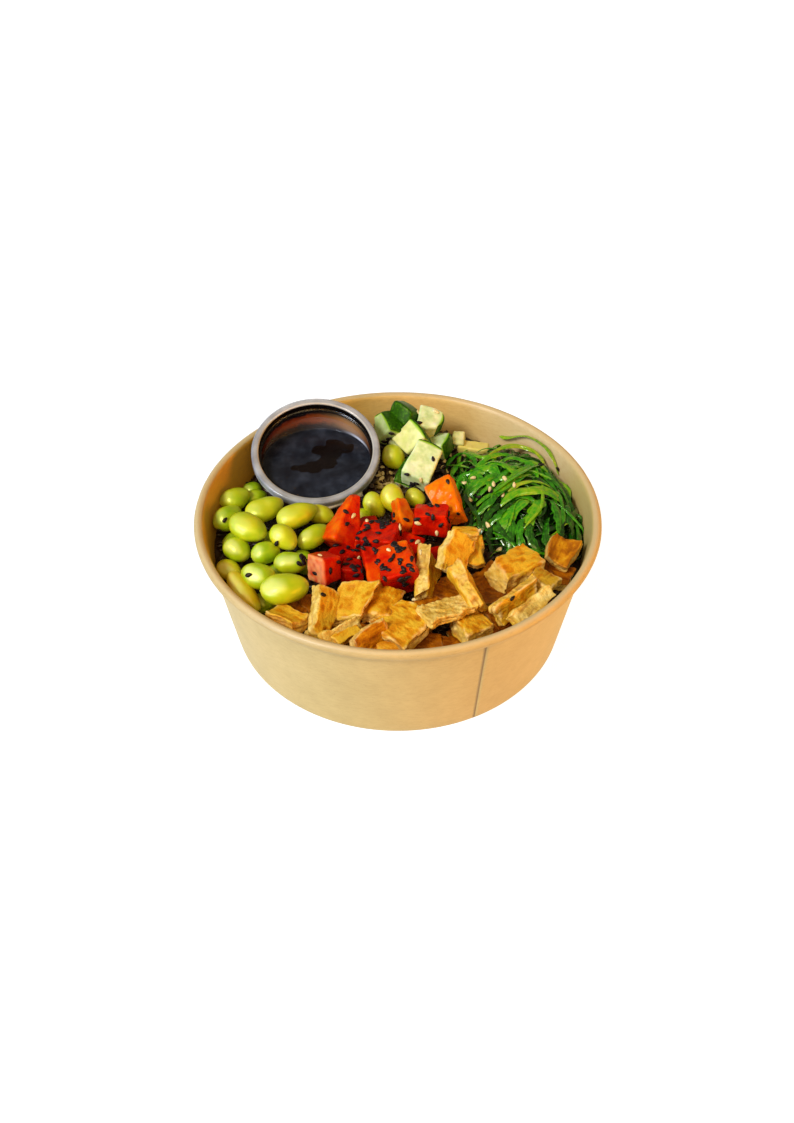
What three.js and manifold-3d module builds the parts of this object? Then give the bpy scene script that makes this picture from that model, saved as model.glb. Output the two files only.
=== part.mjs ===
// Poke bowl: a kraft paper bowl with a rolled rim, a bed of rice, edamame beans, cucumber, red cubes, fried
// tofu and wakame on top, and a small clear cup of sauce with its lid leaning on the food at the back left.
// Millimetres. +Z is up, the origin is under the middle of the bowl on the plane it stands on, and -Y is the
// side with the tofu.
import * as THREE from 'three';
import Module from 'manifold-3d';
import { mergeVertices } from 'three/addons/utils/BufferGeometryUtils.js';

const wasm = await Module();
wasm.setup();

// ---- Driving dimensions ----
const bowl = {
  rimRadius: 92.5,       // outside of the rolled rim
  height: 64,            // top of the rolled rim
  footRadius: 80,        // outside of the wall where it stands
  wall: 0.9,             // paper wall
  rollRadius: 2.2,       // the rim is paper rolled outwards into a bead
  footWidth: 1.8,        // the wall is folded double round the foot
  floorHeight: 7,        // top of the floor disc, set up inside the foot
  ridgeHeight: 57,       // faint pressed ridge under the roll
  ridgeDepth: 0.4,
  seamAngle: -66,        // edge of the wall's overlap, degrees from +X
  seamTurn: 1.3,         // how far that edge leans round from top to foot, degrees
  seamStep: 0.45,        // thickness of the paper at the overlap's edge
  seamFade: 26,          // degrees over which the overlap runs out
  seamWidth: 0.2,        // degrees that the step itself takes up
  sides: 60,
};
const gap = 0.3;         // clearance between pieces that rest on each other

const cup = {
  at: [-39.7, 39.3, 64.6],   // centre of the mouth
  lean: 17.9,                // the mouth faces the front by this much, degrees
  tip: 1.3,                  // and dips to the right by this much
  mouthRadius: 29.6,
  lipRadius: 30.3,
  footRadius: 21.4,
  height: 27,
  wall: 0.8,
  sides: 28,
};
const lid = {
  radius: 31.2,          // outside of the snap-on skirt
  channelInner: 27.5,    // inside of the raised channel round the edge
  channelTop: 1.6,       // top of the channel above the cup's mouth
  panelDepth: 2.4,       // the clear panel sits this far below the mouth
  skirt: 2.8,
  wall: 0.6,
  tabAngle: -63,         // where the lifting tab stands out, degrees in the lid's own plane
  tabHalf: 20,           // half its width, degrees
  tabReach: 2.6,
  tabThickness: 0.8,
};
const sauceLevel = 57.5;   // height of the sauce's level surface above the table

const bed = {
  edge: 47,              // height of the rice against the wall
  crown: 4.5,            // how far it mounds up in the middle
  backLift: 9,           // extra height under the cucumber at the back
  backAt: [4, 68],
  backSpread: 15,
  rings: 4,
  sides: 24,
};

const wakame = {
  at: [56, 19],
  long: 50,              // half lengths of the heap's footprint
  short: 33,
  heading: -72,
  floor: 41,
  edge: 47,              // height of the heap's skirt
  peak: 59,
  rings: 5,
  sides: 24,
};

// Each bean: centre, heading and rise of its long axis in degrees, and its length, width and thickness.
const beans = [
  { at: [-78, 18, 52], turn: [28, 4, 0], size: [15.5, 11.5, 10] },
  { at: [-79.5, 3, 53], turn: [50, 8, 0], size: [15, 11.5, 9.5] },
  { at: [-62, 5, 57], turn: [32, 0, 10], size: [18.5, 12.5, 9.5] },
  { at: [-67.5, -12, 60], turn: [-37, -6, 0], size: [20, 13.5, 10.5] },
  { at: [-46, -2, 59], turn: [33, 0, 0], size: [20.5, 13, 10] },
  { at: [-36, 4.5, 54], turn: [-14, -5, 0], size: [13.5, 9.5, 8] },
  { at: [-51, -19, 61], turn: [-47, -17, 0], size: [15, 10.5, 9] },
  { at: [-38, -13, 56], turn: [43, 3, 0], size: [17, 9.8, 9] },
  { at: [-72, -21, 55], turn: [-42, -4, 0], size: [13.5, 11, 10] },
  { at: [-59, -25.5, 57], turn: [25, 0, 0], size: [13, 11, 9.5] },
  { at: [-47, -33, 58], turn: [0, 0, 0], size: [14.5, 11, 9.5] },
  { at: [-60, -41.5, 58], turn: [-21, 4, 0], size: [16, 12.5, 10.5] },
  { at: [-48, -52, 61], turn: [10, 0, 0], size: [21, 14, 12] },
  { at: [-75, -30, 51], turn: [-45, 8, 0], size: [15, 9, 8] },
  { at: [-66.5, -47, 54], turn: [-53, -14, 0], size: [22.5, 10, 9] },
  { at: [-11, 11.5, 54], turn: [-55, -33, 0], size: [13, 9.5, 9] },
  { at: [-2, 11, 58], turn: [-62, -32, 0], size: [15, 11, 10] },
  { at: [-2, 48, 54], turn: [-52, -24, 0], size: [13.5, 11, 10] },
];

// Each cut piece: centre, then heading, rise and roll in degrees, then length, width and thickness. cup bends
// it across its width, bow along its length, taper widens it towards its far end, skew slides one side along
// the other, and shear slides its top over its foot.
const cucumber = [
  { at: [-5, 65, 61], turn: [-80, -25, -25], size: [14, 9, 10] },
  { at: [3, 70, 64.5], turn: [-40, -5, 60], size: [12, 9, 8] },
  { at: [16, 67, 62], turn: [-105, -20, -12], size: [14.5, 12, 9.5] },
  { at: [7, 57, 59], turn: [-48, -19, 44], size: [14, 13, 9] },
  { at: [12, 35, 60], turn: [-118, -28, -15], size: [21, 13, 10], taper: 0.1 },
  { at: [21.8, 59.5, 52.5], turn: [-113, -5, 23], size: [12, 9.5, 9] },
  { at: [31, 66, 50.5], turn: [-8, 0, 20], size: [7, 8, 8.5] },
  { at: [39, 62, 48], turn: [-13, 0, 0], size: [16, 7.5, 7] },
];
const redCubes = [
  { at: [-23.5, -7, 60], turn: [-112, -35, -50], size: [25, 10, 10], taper: 0.7 },
  { at: [22.5, 7, 60], turn: [-70, -25, 30], size: [20.5, 12, 12] },
  { at: [15, -8, 61], turn: [-6, 2, -12], size: [16, 11, 11] },
  { at: [2.5, -2, 59], turn: [-70, -25, -20], size: [17, 8, 7.5], taper: 0.4 },
  { at: [-8.5, -17.5, 57], turn: [-12, 6, -2], size: [19, 15, 12] },
  { at: [0.5, -38, 59], turn: [8, 15, 7], size: [16, 18, 15], taper: -0.06 },
  { at: [-32, -38, 60], turn: [-42, 17, -18], size: [11.5, 10.5, 12] },
  { at: [-20, -34, 54], turn: [-2, 1, -8], size: [9, 10, 8] },
  { at: [-10.5, -36, 57], turn: [-77, -16, 4], size: [18, 7.5, 10] },
];
const tofu = [
  { at: [-46.5, -66, 57], turn: [-34, 2, -20], size: [15, 11, 5], cup: 1.6 },
  { at: [-31.5, -63, 57.5], turn: [-100, -13, -40], size: [24, 9.5, 7], bow: -1, taper: -0.22 },
  { at: [-18.5, -57, 58.5], turn: [-112, -18, 10], size: [20, 14.5, 3.6], cup: 1.4, skew: -2.6 },
  { at: [-6.7, -56, 57], turn: [-110, -3, 6], size: [19, 13, 3.6], cup: -0.8 },
  { at: [-23, -75, 58], turn: [39, 0, 58], size: [18.5, 8, 3.2] },
  { at: [-11.5, -78, 58], turn: [43, 3, 68], size: [18.5, 10, 3.2], bow: 1 },
  { at: [2, -69.5, 57], turn: [-43, 6, 6], size: [20, 20, 5.5], cup: 0.8 },
  { at: [30.5, -68, 54], turn: [-60, 13, -10], size: [16, 13, 8] },
  { at: [20, -64.5, 60.5], turn: [-62, 14, -5], size: [12.5, 21.5, 4.2], taper: -0.12 },
  { at: [29, -53, 62], turn: [-64, -16, -62], size: [21, 12, 5.5], cup: 2 },
  { at: [25, -34, 63], turn: [-108, -17, -45], size: [19, 13.5, 4.2], bow: 1 },
  { at: [30, -18, 61], turn: [5, 0, -15], size: [10, 7, 5] },
  { at: [34, -26, 56], turn: [-88, -10, 2], size: [13.5, 8, 5] },
  { at: [12, -41, 58.5], turn: [-97, -12, 110], size: [24, 12, 6], cup: -2 },
  { at: [50.3, -35, 55.4], turn: [-141, 5, -18], size: [19, 13.5, 10], shear: [-2.5, -1.5] },
  { at: [73, -22, 54], turn: [-116, -11, -12], size: [15, 12, 5], cup: 2.2 },
  { at: [63, -41, 54], turn: [-121, 15, -33], size: [12, 11.5, 4.2] },
  { at: [49.5, -57, 58.2], turn: [44, 2, 64], size: [25, 10, 3.6], cup: 0.8 },
  { at: [56, -61, 59.5], turn: [47, 0, 36], size: [25, 8.5, 4.5], bow: 0.8 },
];

// ---- Finishes ----
const finish = (color, roughness) => new THREE.MeshStandardMaterial({ color, roughness, metalness: 0 });
const finishes = {
  bowl: finish('#d9b07c', 0.75),
  rice: finish('#e9dfc6', 0.6),
  clear: new THREE.MeshStandardMaterial({ color: '#dfe3e6', roughness: 0.1, transparent: true, opacity: 0.35 }),
  sauce: finish('#1a0d07', 0.15),
  wakame: finish('#2f7a12', 0.35),
  edamame: finish('#a9c21b', 0.35),
  cucumber: finish('#cfdc9a', 0.4),
  red: finish('#d2260c', 0.3),
  tofu: finish('#e0a033', 0.65),
};

// ---- Solids and cuts ----
const degrees = THREE.MathUtils.degToRad;

function toSolid(geometry) {
  const bare = geometry.clone();
  bare.deleteAttribute('normal');
  bare.deleteAttribute('uv');
  const merged = mergeVertices(bare, 1e-4);
  const vertProperties = new Float32Array(merged.attributes.position.array);
  const triVerts = new Uint32Array(merged.index.array);
  return new wasm.Manifold(new wasm.Mesh({ numProp: 3, vertProperties, triVerts }));
}

function toGeometry(solid) {
  const { vertProperties, triVerts } = solid.getMesh();
  const geometry = new THREE.BufferGeometry();
  geometry.setAttribute('position', new THREE.BufferAttribute(new Float32Array(vertProperties), 3));
  geometry.setIndex([...triVerts]);
  return geometry;
}

// What is left of a solid after its cuts: the largest of the pieces, without any slivers.
function largest(solid) {
  const parts = solid.decompose();
  return parts.reduce((best, part) => (part.volume() > best.volume() ? part : best));
}

// Closed surface through a stack of rings with the same number of corners, with a point at each end.
function loft(rings, first, last) {
  const count = rings[0].length;
  const points = [first, ...rings.flat(), last];
  const faces = [];
  const corner = (ring, side) => 1 + ring * count + (side % count);
  for (let side = 0; side < count; side += 1) {
    faces.push(0, corner(0, side + 1), corner(0, side));
    faces.push(points.length - 1, corner(rings.length - 1, side), corner(rings.length - 1, side + 1));
    for (let ring = 0; ring + 1 < rings.length; ring += 1) {
      faces.push(corner(ring, side), corner(ring, side + 1), corner(ring + 1, side + 1));
      faces.push(corner(ring, side), corner(ring + 1, side + 1), corner(ring + 1, side));
    }
  }
  const geometry = new THREE.BufferGeometry();
  geometry.setAttribute('position', new THREE.Float32BufferAttribute(points.flatMap((p) => p.toArray()), 3));
  geometry.setIndex(faces);
  return geometry;
}

const turned = (profile, sides) =>
  new THREE.LatheGeometry(profile.map(([r, z]) => new THREE.Vector2(r, z)), sides).rotateX(Math.PI / 2);

// ---- The bowl ----
const rollCentre = [bowl.rimRadius - bowl.rollRadius, bowl.height - bowl.rollRadius];
const wallTop = rollCentre[0] - bowl.rollRadius + bowl.wall;     // outside of the wall as it meets the roll
const wallSlope = (wallTop - bowl.footRadius) / rollCentre[1];
const outerWall = (z) => bowl.footRadius + wallSlope * z;
const innerWall = (z) => outerWall(z) - bowl.wall;

function bowlProfile() {
  const profile = [[0, bowl.floorHeight - bowl.wall]];
  profile.push([bowl.footRadius - bowl.footWidth, bowl.floorHeight - bowl.wall]);
  profile.push([bowl.footRadius - bowl.footWidth, 0], [bowl.footRadius, 0]);
  for (const [rise, out] of [[-1.8, 0], [0, 1], [1.4, 0]]) {
    const z = bowl.ridgeHeight + rise;
    profile.push([outerWall(z) + out * bowl.ridgeDepth, z]);
  }
  for (let angle = -135; angle <= 180; angle += 45) {
    const turn = degrees(angle);
    const r = rollCentre[0] + bowl.rollRadius * Math.cos(turn);
    profile.push([r, rollCentre[1] + bowl.rollRadius * Math.sin(turn)]);
  }
  profile.push([innerWall(bowl.floorHeight), bowl.floorHeight], [0, bowl.floorHeight]);
  return profile;
}

// The wall is one sheet whose end laps over its start: outside, the overlap's edge is a step that runs out
// round the bowl. The columns of corners on both sides of it are brought together there to keep it sharp.
function seamedBowl() {
  const geometry = turned(bowlProfile(), bowl.sides);
  const position = geometry.attributes.position;
  const pitch = 360 / bowl.sides;
  const point = new THREE.Vector3();
  for (let i = 0; i < position.count; i += 1) {
    point.fromBufferAttribute(position, i);
    const radius = Math.hypot(point.x, point.y);
    const belowRoll = point.z < rollCentre[1] - bowl.rollRadius;
    if (belowRoll && radius > outerWall(point.z) - bowl.wall / 2) {
      const edge = bowl.seamAngle + bowl.seamTurn * (1 - point.z / bowl.height);
      const bearing = THREE.MathUtils.radToDeg(Math.atan2(point.y, point.x));
      let past = THREE.MathUtils.euclideanModulo(bearing - edge, 360);
      if (past < pitch) past = 0;
      if (past > 360 - pitch) past = 360 - bowl.seamWidth;
      const lift = past < bowl.seamFade ? bowl.seamStep * (1 - past / bowl.seamFade) : 0;
      const angle = degrees(edge + past);
      position.setXY(i, (radius + lift) * Math.cos(angle), (radius + lift) * Math.sin(angle));
    }
  }
  return geometry;
}

// The room inside the bowl that food can fill, open upwards.
const room = toSolid(turned([
  [0, bowl.floorHeight + gap],
  [innerWall(bowl.floorHeight) - gap, bowl.floorHeight + gap],
  [rollCentre[0] - bowl.rollRadius - gap, rollCentre[1]],
  [rollCentre[0] - bowl.rollRadius - gap, bowl.height + 30],
  [0, bowl.height + 30],
], bowl.sides));

// ---- The sauce cup ----
const cupPose = new THREE.Matrix4()
  .makeRotationFromEuler(new THREE.Euler(degrees(cup.lean), degrees(cup.tip), 0, 'YXZ'))
  .setPosition(...cup.at);

const cupOutside = (z) => THREE.MathUtils.lerp(cup.footRadius, cup.mouthRadius, (z + cup.height) / cup.height);

function cupGeometry() {
  return turned([
    [0, -cup.height],
    [cup.footRadius, -cup.height],
    [cupOutside(-2.4), -2.4],
    [cup.lipRadius, -2.2],
    [cup.lipRadius, -0.9],
    [cup.mouthRadius - cup.wall, -0.9],
    [cupOutside(-4) - cup.wall, -4],
    [cup.footRadius - cup.wall, -cup.height + cup.wall],
    [0, -cup.height + cup.wall],
  ], cup.sides);
}

function lidGeometry() {
  const ring = turned([
    [0, -lid.panelDepth],
    [lid.channelInner - 0.4, -lid.panelDepth],
    [lid.channelInner, lid.channelTop - 0.5],
    [lid.channelInner + 0.8, lid.channelTop],
    [lid.radius - 1.2, lid.channelTop],
    [lid.radius - 0.3, lid.channelTop - 0.7],
    [lid.radius, -lid.skirt],
    [lid.radius - 0.45, -lid.skirt],
    [lid.radius - 1, lid.channelTop - lid.wall],
    [lid.channelInner + 0.9, lid.channelTop - lid.wall],
    [lid.channelInner + 0.2, -lid.panelDepth - lid.wall],
    [0, -lid.panelDepth - lid.wall],
  ].reverse(), cup.sides);
  return toGeometry(toSolid(ring).add(toSolid(tabGeometry(0))));
}

// The thumb tab at the bottom of the lid's skirt: a crescent that runs out to nothing at both ends.
function tabGeometry(grow) {
  const steps = 8;
  const spread = Array.from({ length: steps + 1 }, (_, i) =>
    degrees(lid.tabAngle + lid.tabHalf * (2 * i / steps - 1)));
  const reach = (i) => lid.radius + lid.tabReach * Math.sqrt(Math.sin(Math.PI * i / steps)) + grow;
  const on = (radius, angle) => new THREE.Vector2(radius * Math.cos(angle), radius * Math.sin(angle));
  const outline = new THREE.Shape([
    ...spread.map((angle, i) => on(reach(i), angle)),
    ...spread.map((angle) => on(lid.radius - 0.3, angle)).reverse(),
  ]);
  const depth = lid.tabThickness + 2 * grow;
  return new THREE.ExtrudeGeometry(outline, { depth, bevelEnabled: false }).translate(0, 0, -lid.skirt - grow);
}

// The sauce fills the leaning cup to a level surface, and where that is higher than the lid it wets the panel.
function sauceSolid() {
  const top = -lid.panelDepth - lid.wall - gap;
  const filled = turned([
    [0, -cup.height + cup.wall + gap],
    [cup.footRadius - cup.wall - gap, -cup.height + cup.wall + gap],
    [Math.min(cupOutside(top) - cup.wall, lid.channelInner) - gap, top],
    [0, top],
  ], cup.sides);
  const below = new THREE.BoxGeometry(120, 120, 80).translate(cup.at[0], cup.at[1], sauceLevel - 40);
  return toSolid(filled.applyMatrix4(cupPose)).intersect(toSolid(below));
}

// Everything the lidded cup takes up, with the clearance round it.
const cupRoom = toSolid(turned([
  [0, -cup.height - gap],
  [cup.footRadius + gap, -cup.height - gap],
  [cupOutside(-4) + gap, -4],
  [lid.radius + gap, -4],
  [lid.radius + gap, lid.channelTop + gap],
  [0, lid.channelTop + gap],
], cup.sides).applyMatrix4(cupPose)).add(toSolid(tabGeometry(gap).applyMatrix4(cupPose)));

// ---- Toppings ----
// A plump bean: rings of an oval section that swells and closes along its length, with one end blunter. The
// hollow that it leaves in what it lies on has fewer sides, drawn round it.
function beanGeometry({ size }, grow) {
  const [length, width, thickness] = size.map((s) => s / 2 + grow);
  const hollow = grow > 0;
  const sides = hollow ? 6 : 8;
  const around = hollow ? 1 / Math.cos(Math.PI / sides) : 1;
  const bend = (t) => 0.06 * length * (t * t - 0.3);
  const rings = [-0.88, -0.4, 0.25, 0.85].map((t) => {
    const swell = around * (1 - Math.abs(t) ** 2.4) ** 0.52 * (1 - 0.08 * t);
    return Array.from({ length: sides }, (_, i) => {
      const turn = 2 * Math.PI * i / sides;
      const y = swell * width * Math.cos(turn) + bend(t);
      return new THREE.Vector3(t * length, y, swell * thickness * Math.sin(turn));
    });
  });
  const end = (t) => new THREE.Vector3(t * length, bend(t), 0);
  return loft(rings, end(-1), end(1));
}

// How far piece number n is out of square in way k, from -1 to 1.
const uneven = (n, k) => Math.sin(n * 12.9 + k * 7.7);

// A hand-cut block or slab: a box a little out of square, then bent and tapered. The piece has chamfered edges,
// and the hollow that it leaves in what it lies on has sharp ones.
function blockGeometry({ size, cup: cupping = 0, bow = 0, taper = 0, skew = 0, shear = [0, 0] }, grow, n) {
  const [length, width, thickness] = size.map((s) => s / 2 + grow);
  const hollow = grow > 0;
  const bent = cupping !== 0 || bow !== 0;
  const chamfer = hollow ? 0 : 0.16 * Math.min(width, thickness, length);
  const [wide, thick] = [width - chamfer, thickness - chamfer];
  const across = bent ? [wide, 0, -wide] : [wide, -wide];
  const outline = hollow
    ? [...across.map((y) => [y, thick]), ...across.map((y) => [-y, -thick])]
    : [
      [width, thick], ...across.map((y) => [y, thickness]), [-width, thick],
      [-width, -thick], ...across.map((y) => [-y, -thickness]), [width, -thick],
    ];
  const section = (x, inset) => outline.map(([y, z]) =>
    new THREE.Vector3(x, y * (1 - inset / width), z * (1 - inset / thickness)));
  const long = length - chamfer;
  const stations = (bent ? [-long, 0, long] : [-long, long]).map((x) => section(x, 0));
  const rings = hollow ? stations : [section(-length, chamfer), ...stations, section(length, chamfer)];
  const k = 0.1;
  const shape = (p) => {
    const a = p.x / length;
    const b = p.y / width;
    const c = p.z / thickness;
    return new THREE.Vector3(
      p.x * (1 + k * (uneven(n, 1) * b + uneven(n, 2) * c)) + skew * b + shear[0] * c,
      p.y * (1 + k * (uneven(n, 3) * a + uneven(n, 4) * c) + taper * a) + shear[1] * c,
      p.z * (1 + k * (uneven(n, 5) * a + uneven(n, 6) * b)) + cupping * (b * b - 0.4) + bow * (a * a - 0.4),
    );
  };
  const end = (x) => shape(new THREE.Vector3(x, 0, 0));
  return loft(rings.map((ring) => ring.map(shape)), end(-length), end(length));
}

const poseOf = ({ at, turn: [heading, rise, roll] }) => new THREE.Matrix4()
  .makeRotationFromEuler(new THREE.Euler(degrees(roll), degrees(-rise), degrees(heading), 'ZYX'))
  .setPosition(...at);

// ---- Heaps ----
function ricePoints() {
  const height = (x, y) => {
    const out = Math.hypot(x, y) / innerWall(bed.edge);
    const back = Math.hypot(x - bed.backAt[0], y - bed.backAt[1]) / bed.backSpread;
    const lumps = 0.7 * Math.sin(0.21 * x + 1) * Math.cos(0.19 * y) + 0.5 * Math.sin(0.11 * (x - y));
    return bed.edge + bed.crown * Math.cos(out * Math.PI / 2) + bed.backLift * Math.exp(-back * back) + lumps;
  };
  const circle = (radius, z) => Array.from({ length: bed.sides }, (_, i) => {
    const turn = 2 * Math.PI * i / bed.sides;
    const [x, y] = [radius * Math.cos(turn), radius * Math.sin(turn)];
    return new THREE.Vector3(x, y, z ?? height(x, y));
  });
  const floor = bowl.floorHeight + gap;
  const rings = [circle(innerWall(floor) - gap - 0.4, floor)];
  for (let k = bed.rings; k > 0; k -= 1) rings.push(circle((innerWall(bed.edge) - gap - 0.6) * k / bed.rings));
  return loft(rings, new THREE.Vector3(0, 0, floor), new THREE.Vector3(0, 0, height(0, 0)));
}

// A loose heap of seaweed ribbons: an oval mound with a ragged edge and long furrows over its top.
function wakameHeap(grow) {
  const heading = degrees(wakame.heading);
  const at = (part, side) => {
    const turn = 2 * Math.PI * side / wakame.sides;
    const ragged = 1 + 0.05 * Math.sin(5 * turn + 1) + 0.04 * Math.sin(9 * turn);
    const along = (wakame.long * ragged + grow) * part * Math.cos(turn);
    const across = (wakame.short * ragged + grow) * part * Math.sin(turn);
    const x = wakame.at[0] + along * Math.cos(heading) - across * Math.sin(heading);
    const y = wakame.at[1] + along * Math.sin(heading) + across * Math.cos(heading);
    const dome = wakame.edge + (wakame.peak - wakame.edge) * (1 - part ** 2.2);
    const furrow = 1.1 * Math.sin(0.35 * across + 0.12 * along) * (1 - part ** 4);
    return new THREE.Vector3(x, y, dome + furrow + grow);
  };
  const ring = (part, z) => Array.from({ length: wakame.sides }, (_, side) => {
    const point = at(part, side);
    if (z !== undefined) point.z = z;
    return point;
  });
  const rings = [ring(0.9, wakame.floor - grow)];
  for (let k = wakame.rings; k > 0; k -= 1) rings.push(ring(k / wakame.rings));
  const middle = at(0, 0);
  return toSolid(loft(rings, new THREE.Vector3(middle.x, middle.y, wakame.floor - grow), middle));
}

// ---- Putting it together ----
const group = new THREE.Group();

function addMesh(parent, name, geometry, material) {
  const mesh = new THREE.Mesh(geometry, material);
  mesh.name = name;
  parent.add(mesh);
  return mesh;
}

addMesh(group, 'bowl', seamedBowl(), finishes.bowl);

const cupGroup = new THREE.Group();
cupGroup.applyMatrix4(cupPose);
group.add(cupGroup);
addMesh(cupGroup, 'sauce_cup', cupGeometry(), finishes.clear);
addMesh(cupGroup, 'sauce_cup_lid', lidGeometry(), finishes.clear);
addMesh(group, 'sauce', toGeometry(sauceSolid()), finishes.sauce);

// The toppings lie on each other, so the ones lower down are hollowed to take those above them, and all of
// them are kept clear of the cup and the bowl's wall.
const kinds = [
  ['edamame', beans, beanGeometry, finishes.edamame],
  ['cucumber', cucumber, blockGeometry, finishes.cucumber],
  ['red_cube', redCubes, blockGeometry, finishes.red],
  ['tofu', tofu, blockGeometry, finishes.tofu],
];
const toppings = kinds.flatMap(([kind, rows, shape, material], k) => rows.map((row, i) => {
  const pose = poseOf(row);
  const name = `${kind}_${String(i + 1).padStart(2, '0')}`;
  const seed = 20 * k + i;
  const solid = toSolid(shape(row, 0, seed).applyMatrix4(pose));
  const cutter = toSolid(shape(row, gap, seed).applyMatrix4(pose));
  return { name, pose, material, solid, cutter, height: row.at[2] };
}));
toppings.sort((a, b) => b.height - a.height);

toppings.forEach((piece, i) => {
  let solid = piece.solid.intersect(room).subtract(cupRoom);
  for (const above of toppings.slice(0, i)) solid = solid.subtract(above.cutter);
  const geometry = toGeometry(largest(solid)).applyMatrix4(piece.pose.clone().invert());
  addMesh(group, piece.name, geometry, piece.material).applyMatrix4(piece.pose);
});

const cutByToppings = (solid) => toppings.reduce((left, piece) => left.subtract(piece.cutter), solid);

const wakameSolid = cutByToppings(wakameHeap(0).intersect(room).subtract(cupRoom));
addMesh(group, 'wakame_heap', toGeometry(largest(wakameSolid)), finishes.wakame);

const riceSolid = cutByToppings(toSolid(ricePoints()).intersect(room).subtract(cupRoom)).subtract(wakameHeap(gap));
addMesh(group, 'rice_bed', toGeometry(largest(riceSolid)), finishes.rice);

export default group;
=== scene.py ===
import bpy
import numpy as np
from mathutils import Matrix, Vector
from mathutils.bvhtree import BVHTree


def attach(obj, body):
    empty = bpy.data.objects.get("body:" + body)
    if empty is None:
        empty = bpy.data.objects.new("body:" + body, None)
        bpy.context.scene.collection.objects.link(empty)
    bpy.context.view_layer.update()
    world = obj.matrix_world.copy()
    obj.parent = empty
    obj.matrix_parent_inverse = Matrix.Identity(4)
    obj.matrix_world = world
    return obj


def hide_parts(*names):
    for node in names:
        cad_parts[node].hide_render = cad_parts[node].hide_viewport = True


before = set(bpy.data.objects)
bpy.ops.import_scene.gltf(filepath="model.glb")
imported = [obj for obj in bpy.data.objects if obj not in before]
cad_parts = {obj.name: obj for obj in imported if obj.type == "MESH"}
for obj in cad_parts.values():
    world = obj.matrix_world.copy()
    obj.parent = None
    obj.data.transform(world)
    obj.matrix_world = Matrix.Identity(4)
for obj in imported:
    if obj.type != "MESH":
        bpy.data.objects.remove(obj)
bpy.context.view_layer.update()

mm = 0.001
surfaces = []        # corners and faces of every topping, for seeds to fall on


# Linear colour of a hex tone such as "#d9b07c".
def tone(code):
    value = np.array([int(code[i:i + 2], 16) for i in (1, 3, 5)]) / 255
    linear = np.where(value <= 0.04045, value / 12.92, ((value + 0.055) / 1.055) ** 2.4)
    return (*linear.tolist(), 1.0)


# 0 up to low, 1 from high on, and t^2 (3 - 2 t) between them.
def ease(x, low=0.0, high=1.0):
    t = np.clip((np.asarray(x, float) - low) / (high - low), 0, 1)
    return t * t * (3 - 2 * t)


# A hump of height 1 at middle: e^-((x - middle) / spread)^2.
def hump(x, middle, spread):
    return np.exp(-((x - middle) / spread) ** 2)


# How far piece number n is out of true in way k, from -1 to 1.
def uneven(n, k):
    return np.sin(n * 12.9 + k * 7.7)


# Value noise from -1 to 1: a random number on each corner of a lattice of the given size, eased in between.
# The random number comes from the corner's place and the seed, scrambled with large odd factors.
def noise(points, size, seed=0):
    p = np.asarray(points, float) / size
    cell = np.floor(p).astype(np.int64)
    f = p - cell
    f = f * f * (3 - 2 * f)
    total = 0
    for corner in range(8):
        step = np.array([corner & 1, corner >> 1 & 1, corner >> 2 & 1])
        at = cell + step
        mix = at[..., 0] * 374761393 + at[..., 1] * 668265263 + at[..., 2] * 1442695041 + seed * 97531
        mix = (mix ^ (mix >> 13)) * 1274126177 & 0xFFFFFFFF
        mix = (mix ^ (mix >> 15)) & 0xFFFF
        weight = np.prod(np.where(step == 1, f, 1 - f), axis=-1)
        total = total + weight * (mix / 32767.5 - 1)
    return total


# Turn about X by roll, then lift the X axis by rise, then swing it round Z by heading.
def turning(heading, rise, roll):
    h, r, w = np.radians([heading, -rise, roll])
    aboutZ = np.array([[np.cos(h), -np.sin(h), 0], [np.sin(h), np.cos(h), 0], [0, 0, 1]])
    aboutY = np.array([[np.cos(r), 0, np.sin(r)], [0, 1, 0], [-np.sin(r), 0, np.cos(r)]])
    aboutX = np.array([[1, 0, 0], [0, np.cos(w), -np.sin(w)], [0, np.sin(w), np.cos(w)]])
    return aboutZ @ aboutY @ aboutX


# Unit normals of a grid: the cross product of its steps round the rings and from ring to ring.
def outward(points):
    along = np.gradient(points, axis=-3)
    around = np.roll(points, -1, -2) - np.roll(points, 1, -2)
    normal = np.cross(around, along)
    normal /= np.linalg.norm(normal, axis=-1, keepdims=True) + 1e-9
    middle = points.mean(axis=(-3, -2), keepdims=True)
    if (normal * (points - middle)).sum() < 0:
        normal = -normal
    return normal


# The corners of a grid as one list: the first and last rings are one point each, the others are whole rings.
def cornersOf(values):
    copies = values.shape[0]
    tail = values.shape[3:]
    rings = values[:, 1:-1].reshape(copies, -1, *tail)
    return np.concatenate([values[:, 0, :1], rings, values[:, -1, :1]], axis=1)


# Faces between rings of a grid, from corner number first on.
def quadsOf(rings, columns, first):
    ring = first + np.arange(rings - 1)[:, None] * columns
    j = np.arange(columns)
    k = (j + 1) % columns
    return np.stack([ring + j, ring + k, ring + columns + k, ring + columns + j], -1).reshape(-1, 4)


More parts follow.
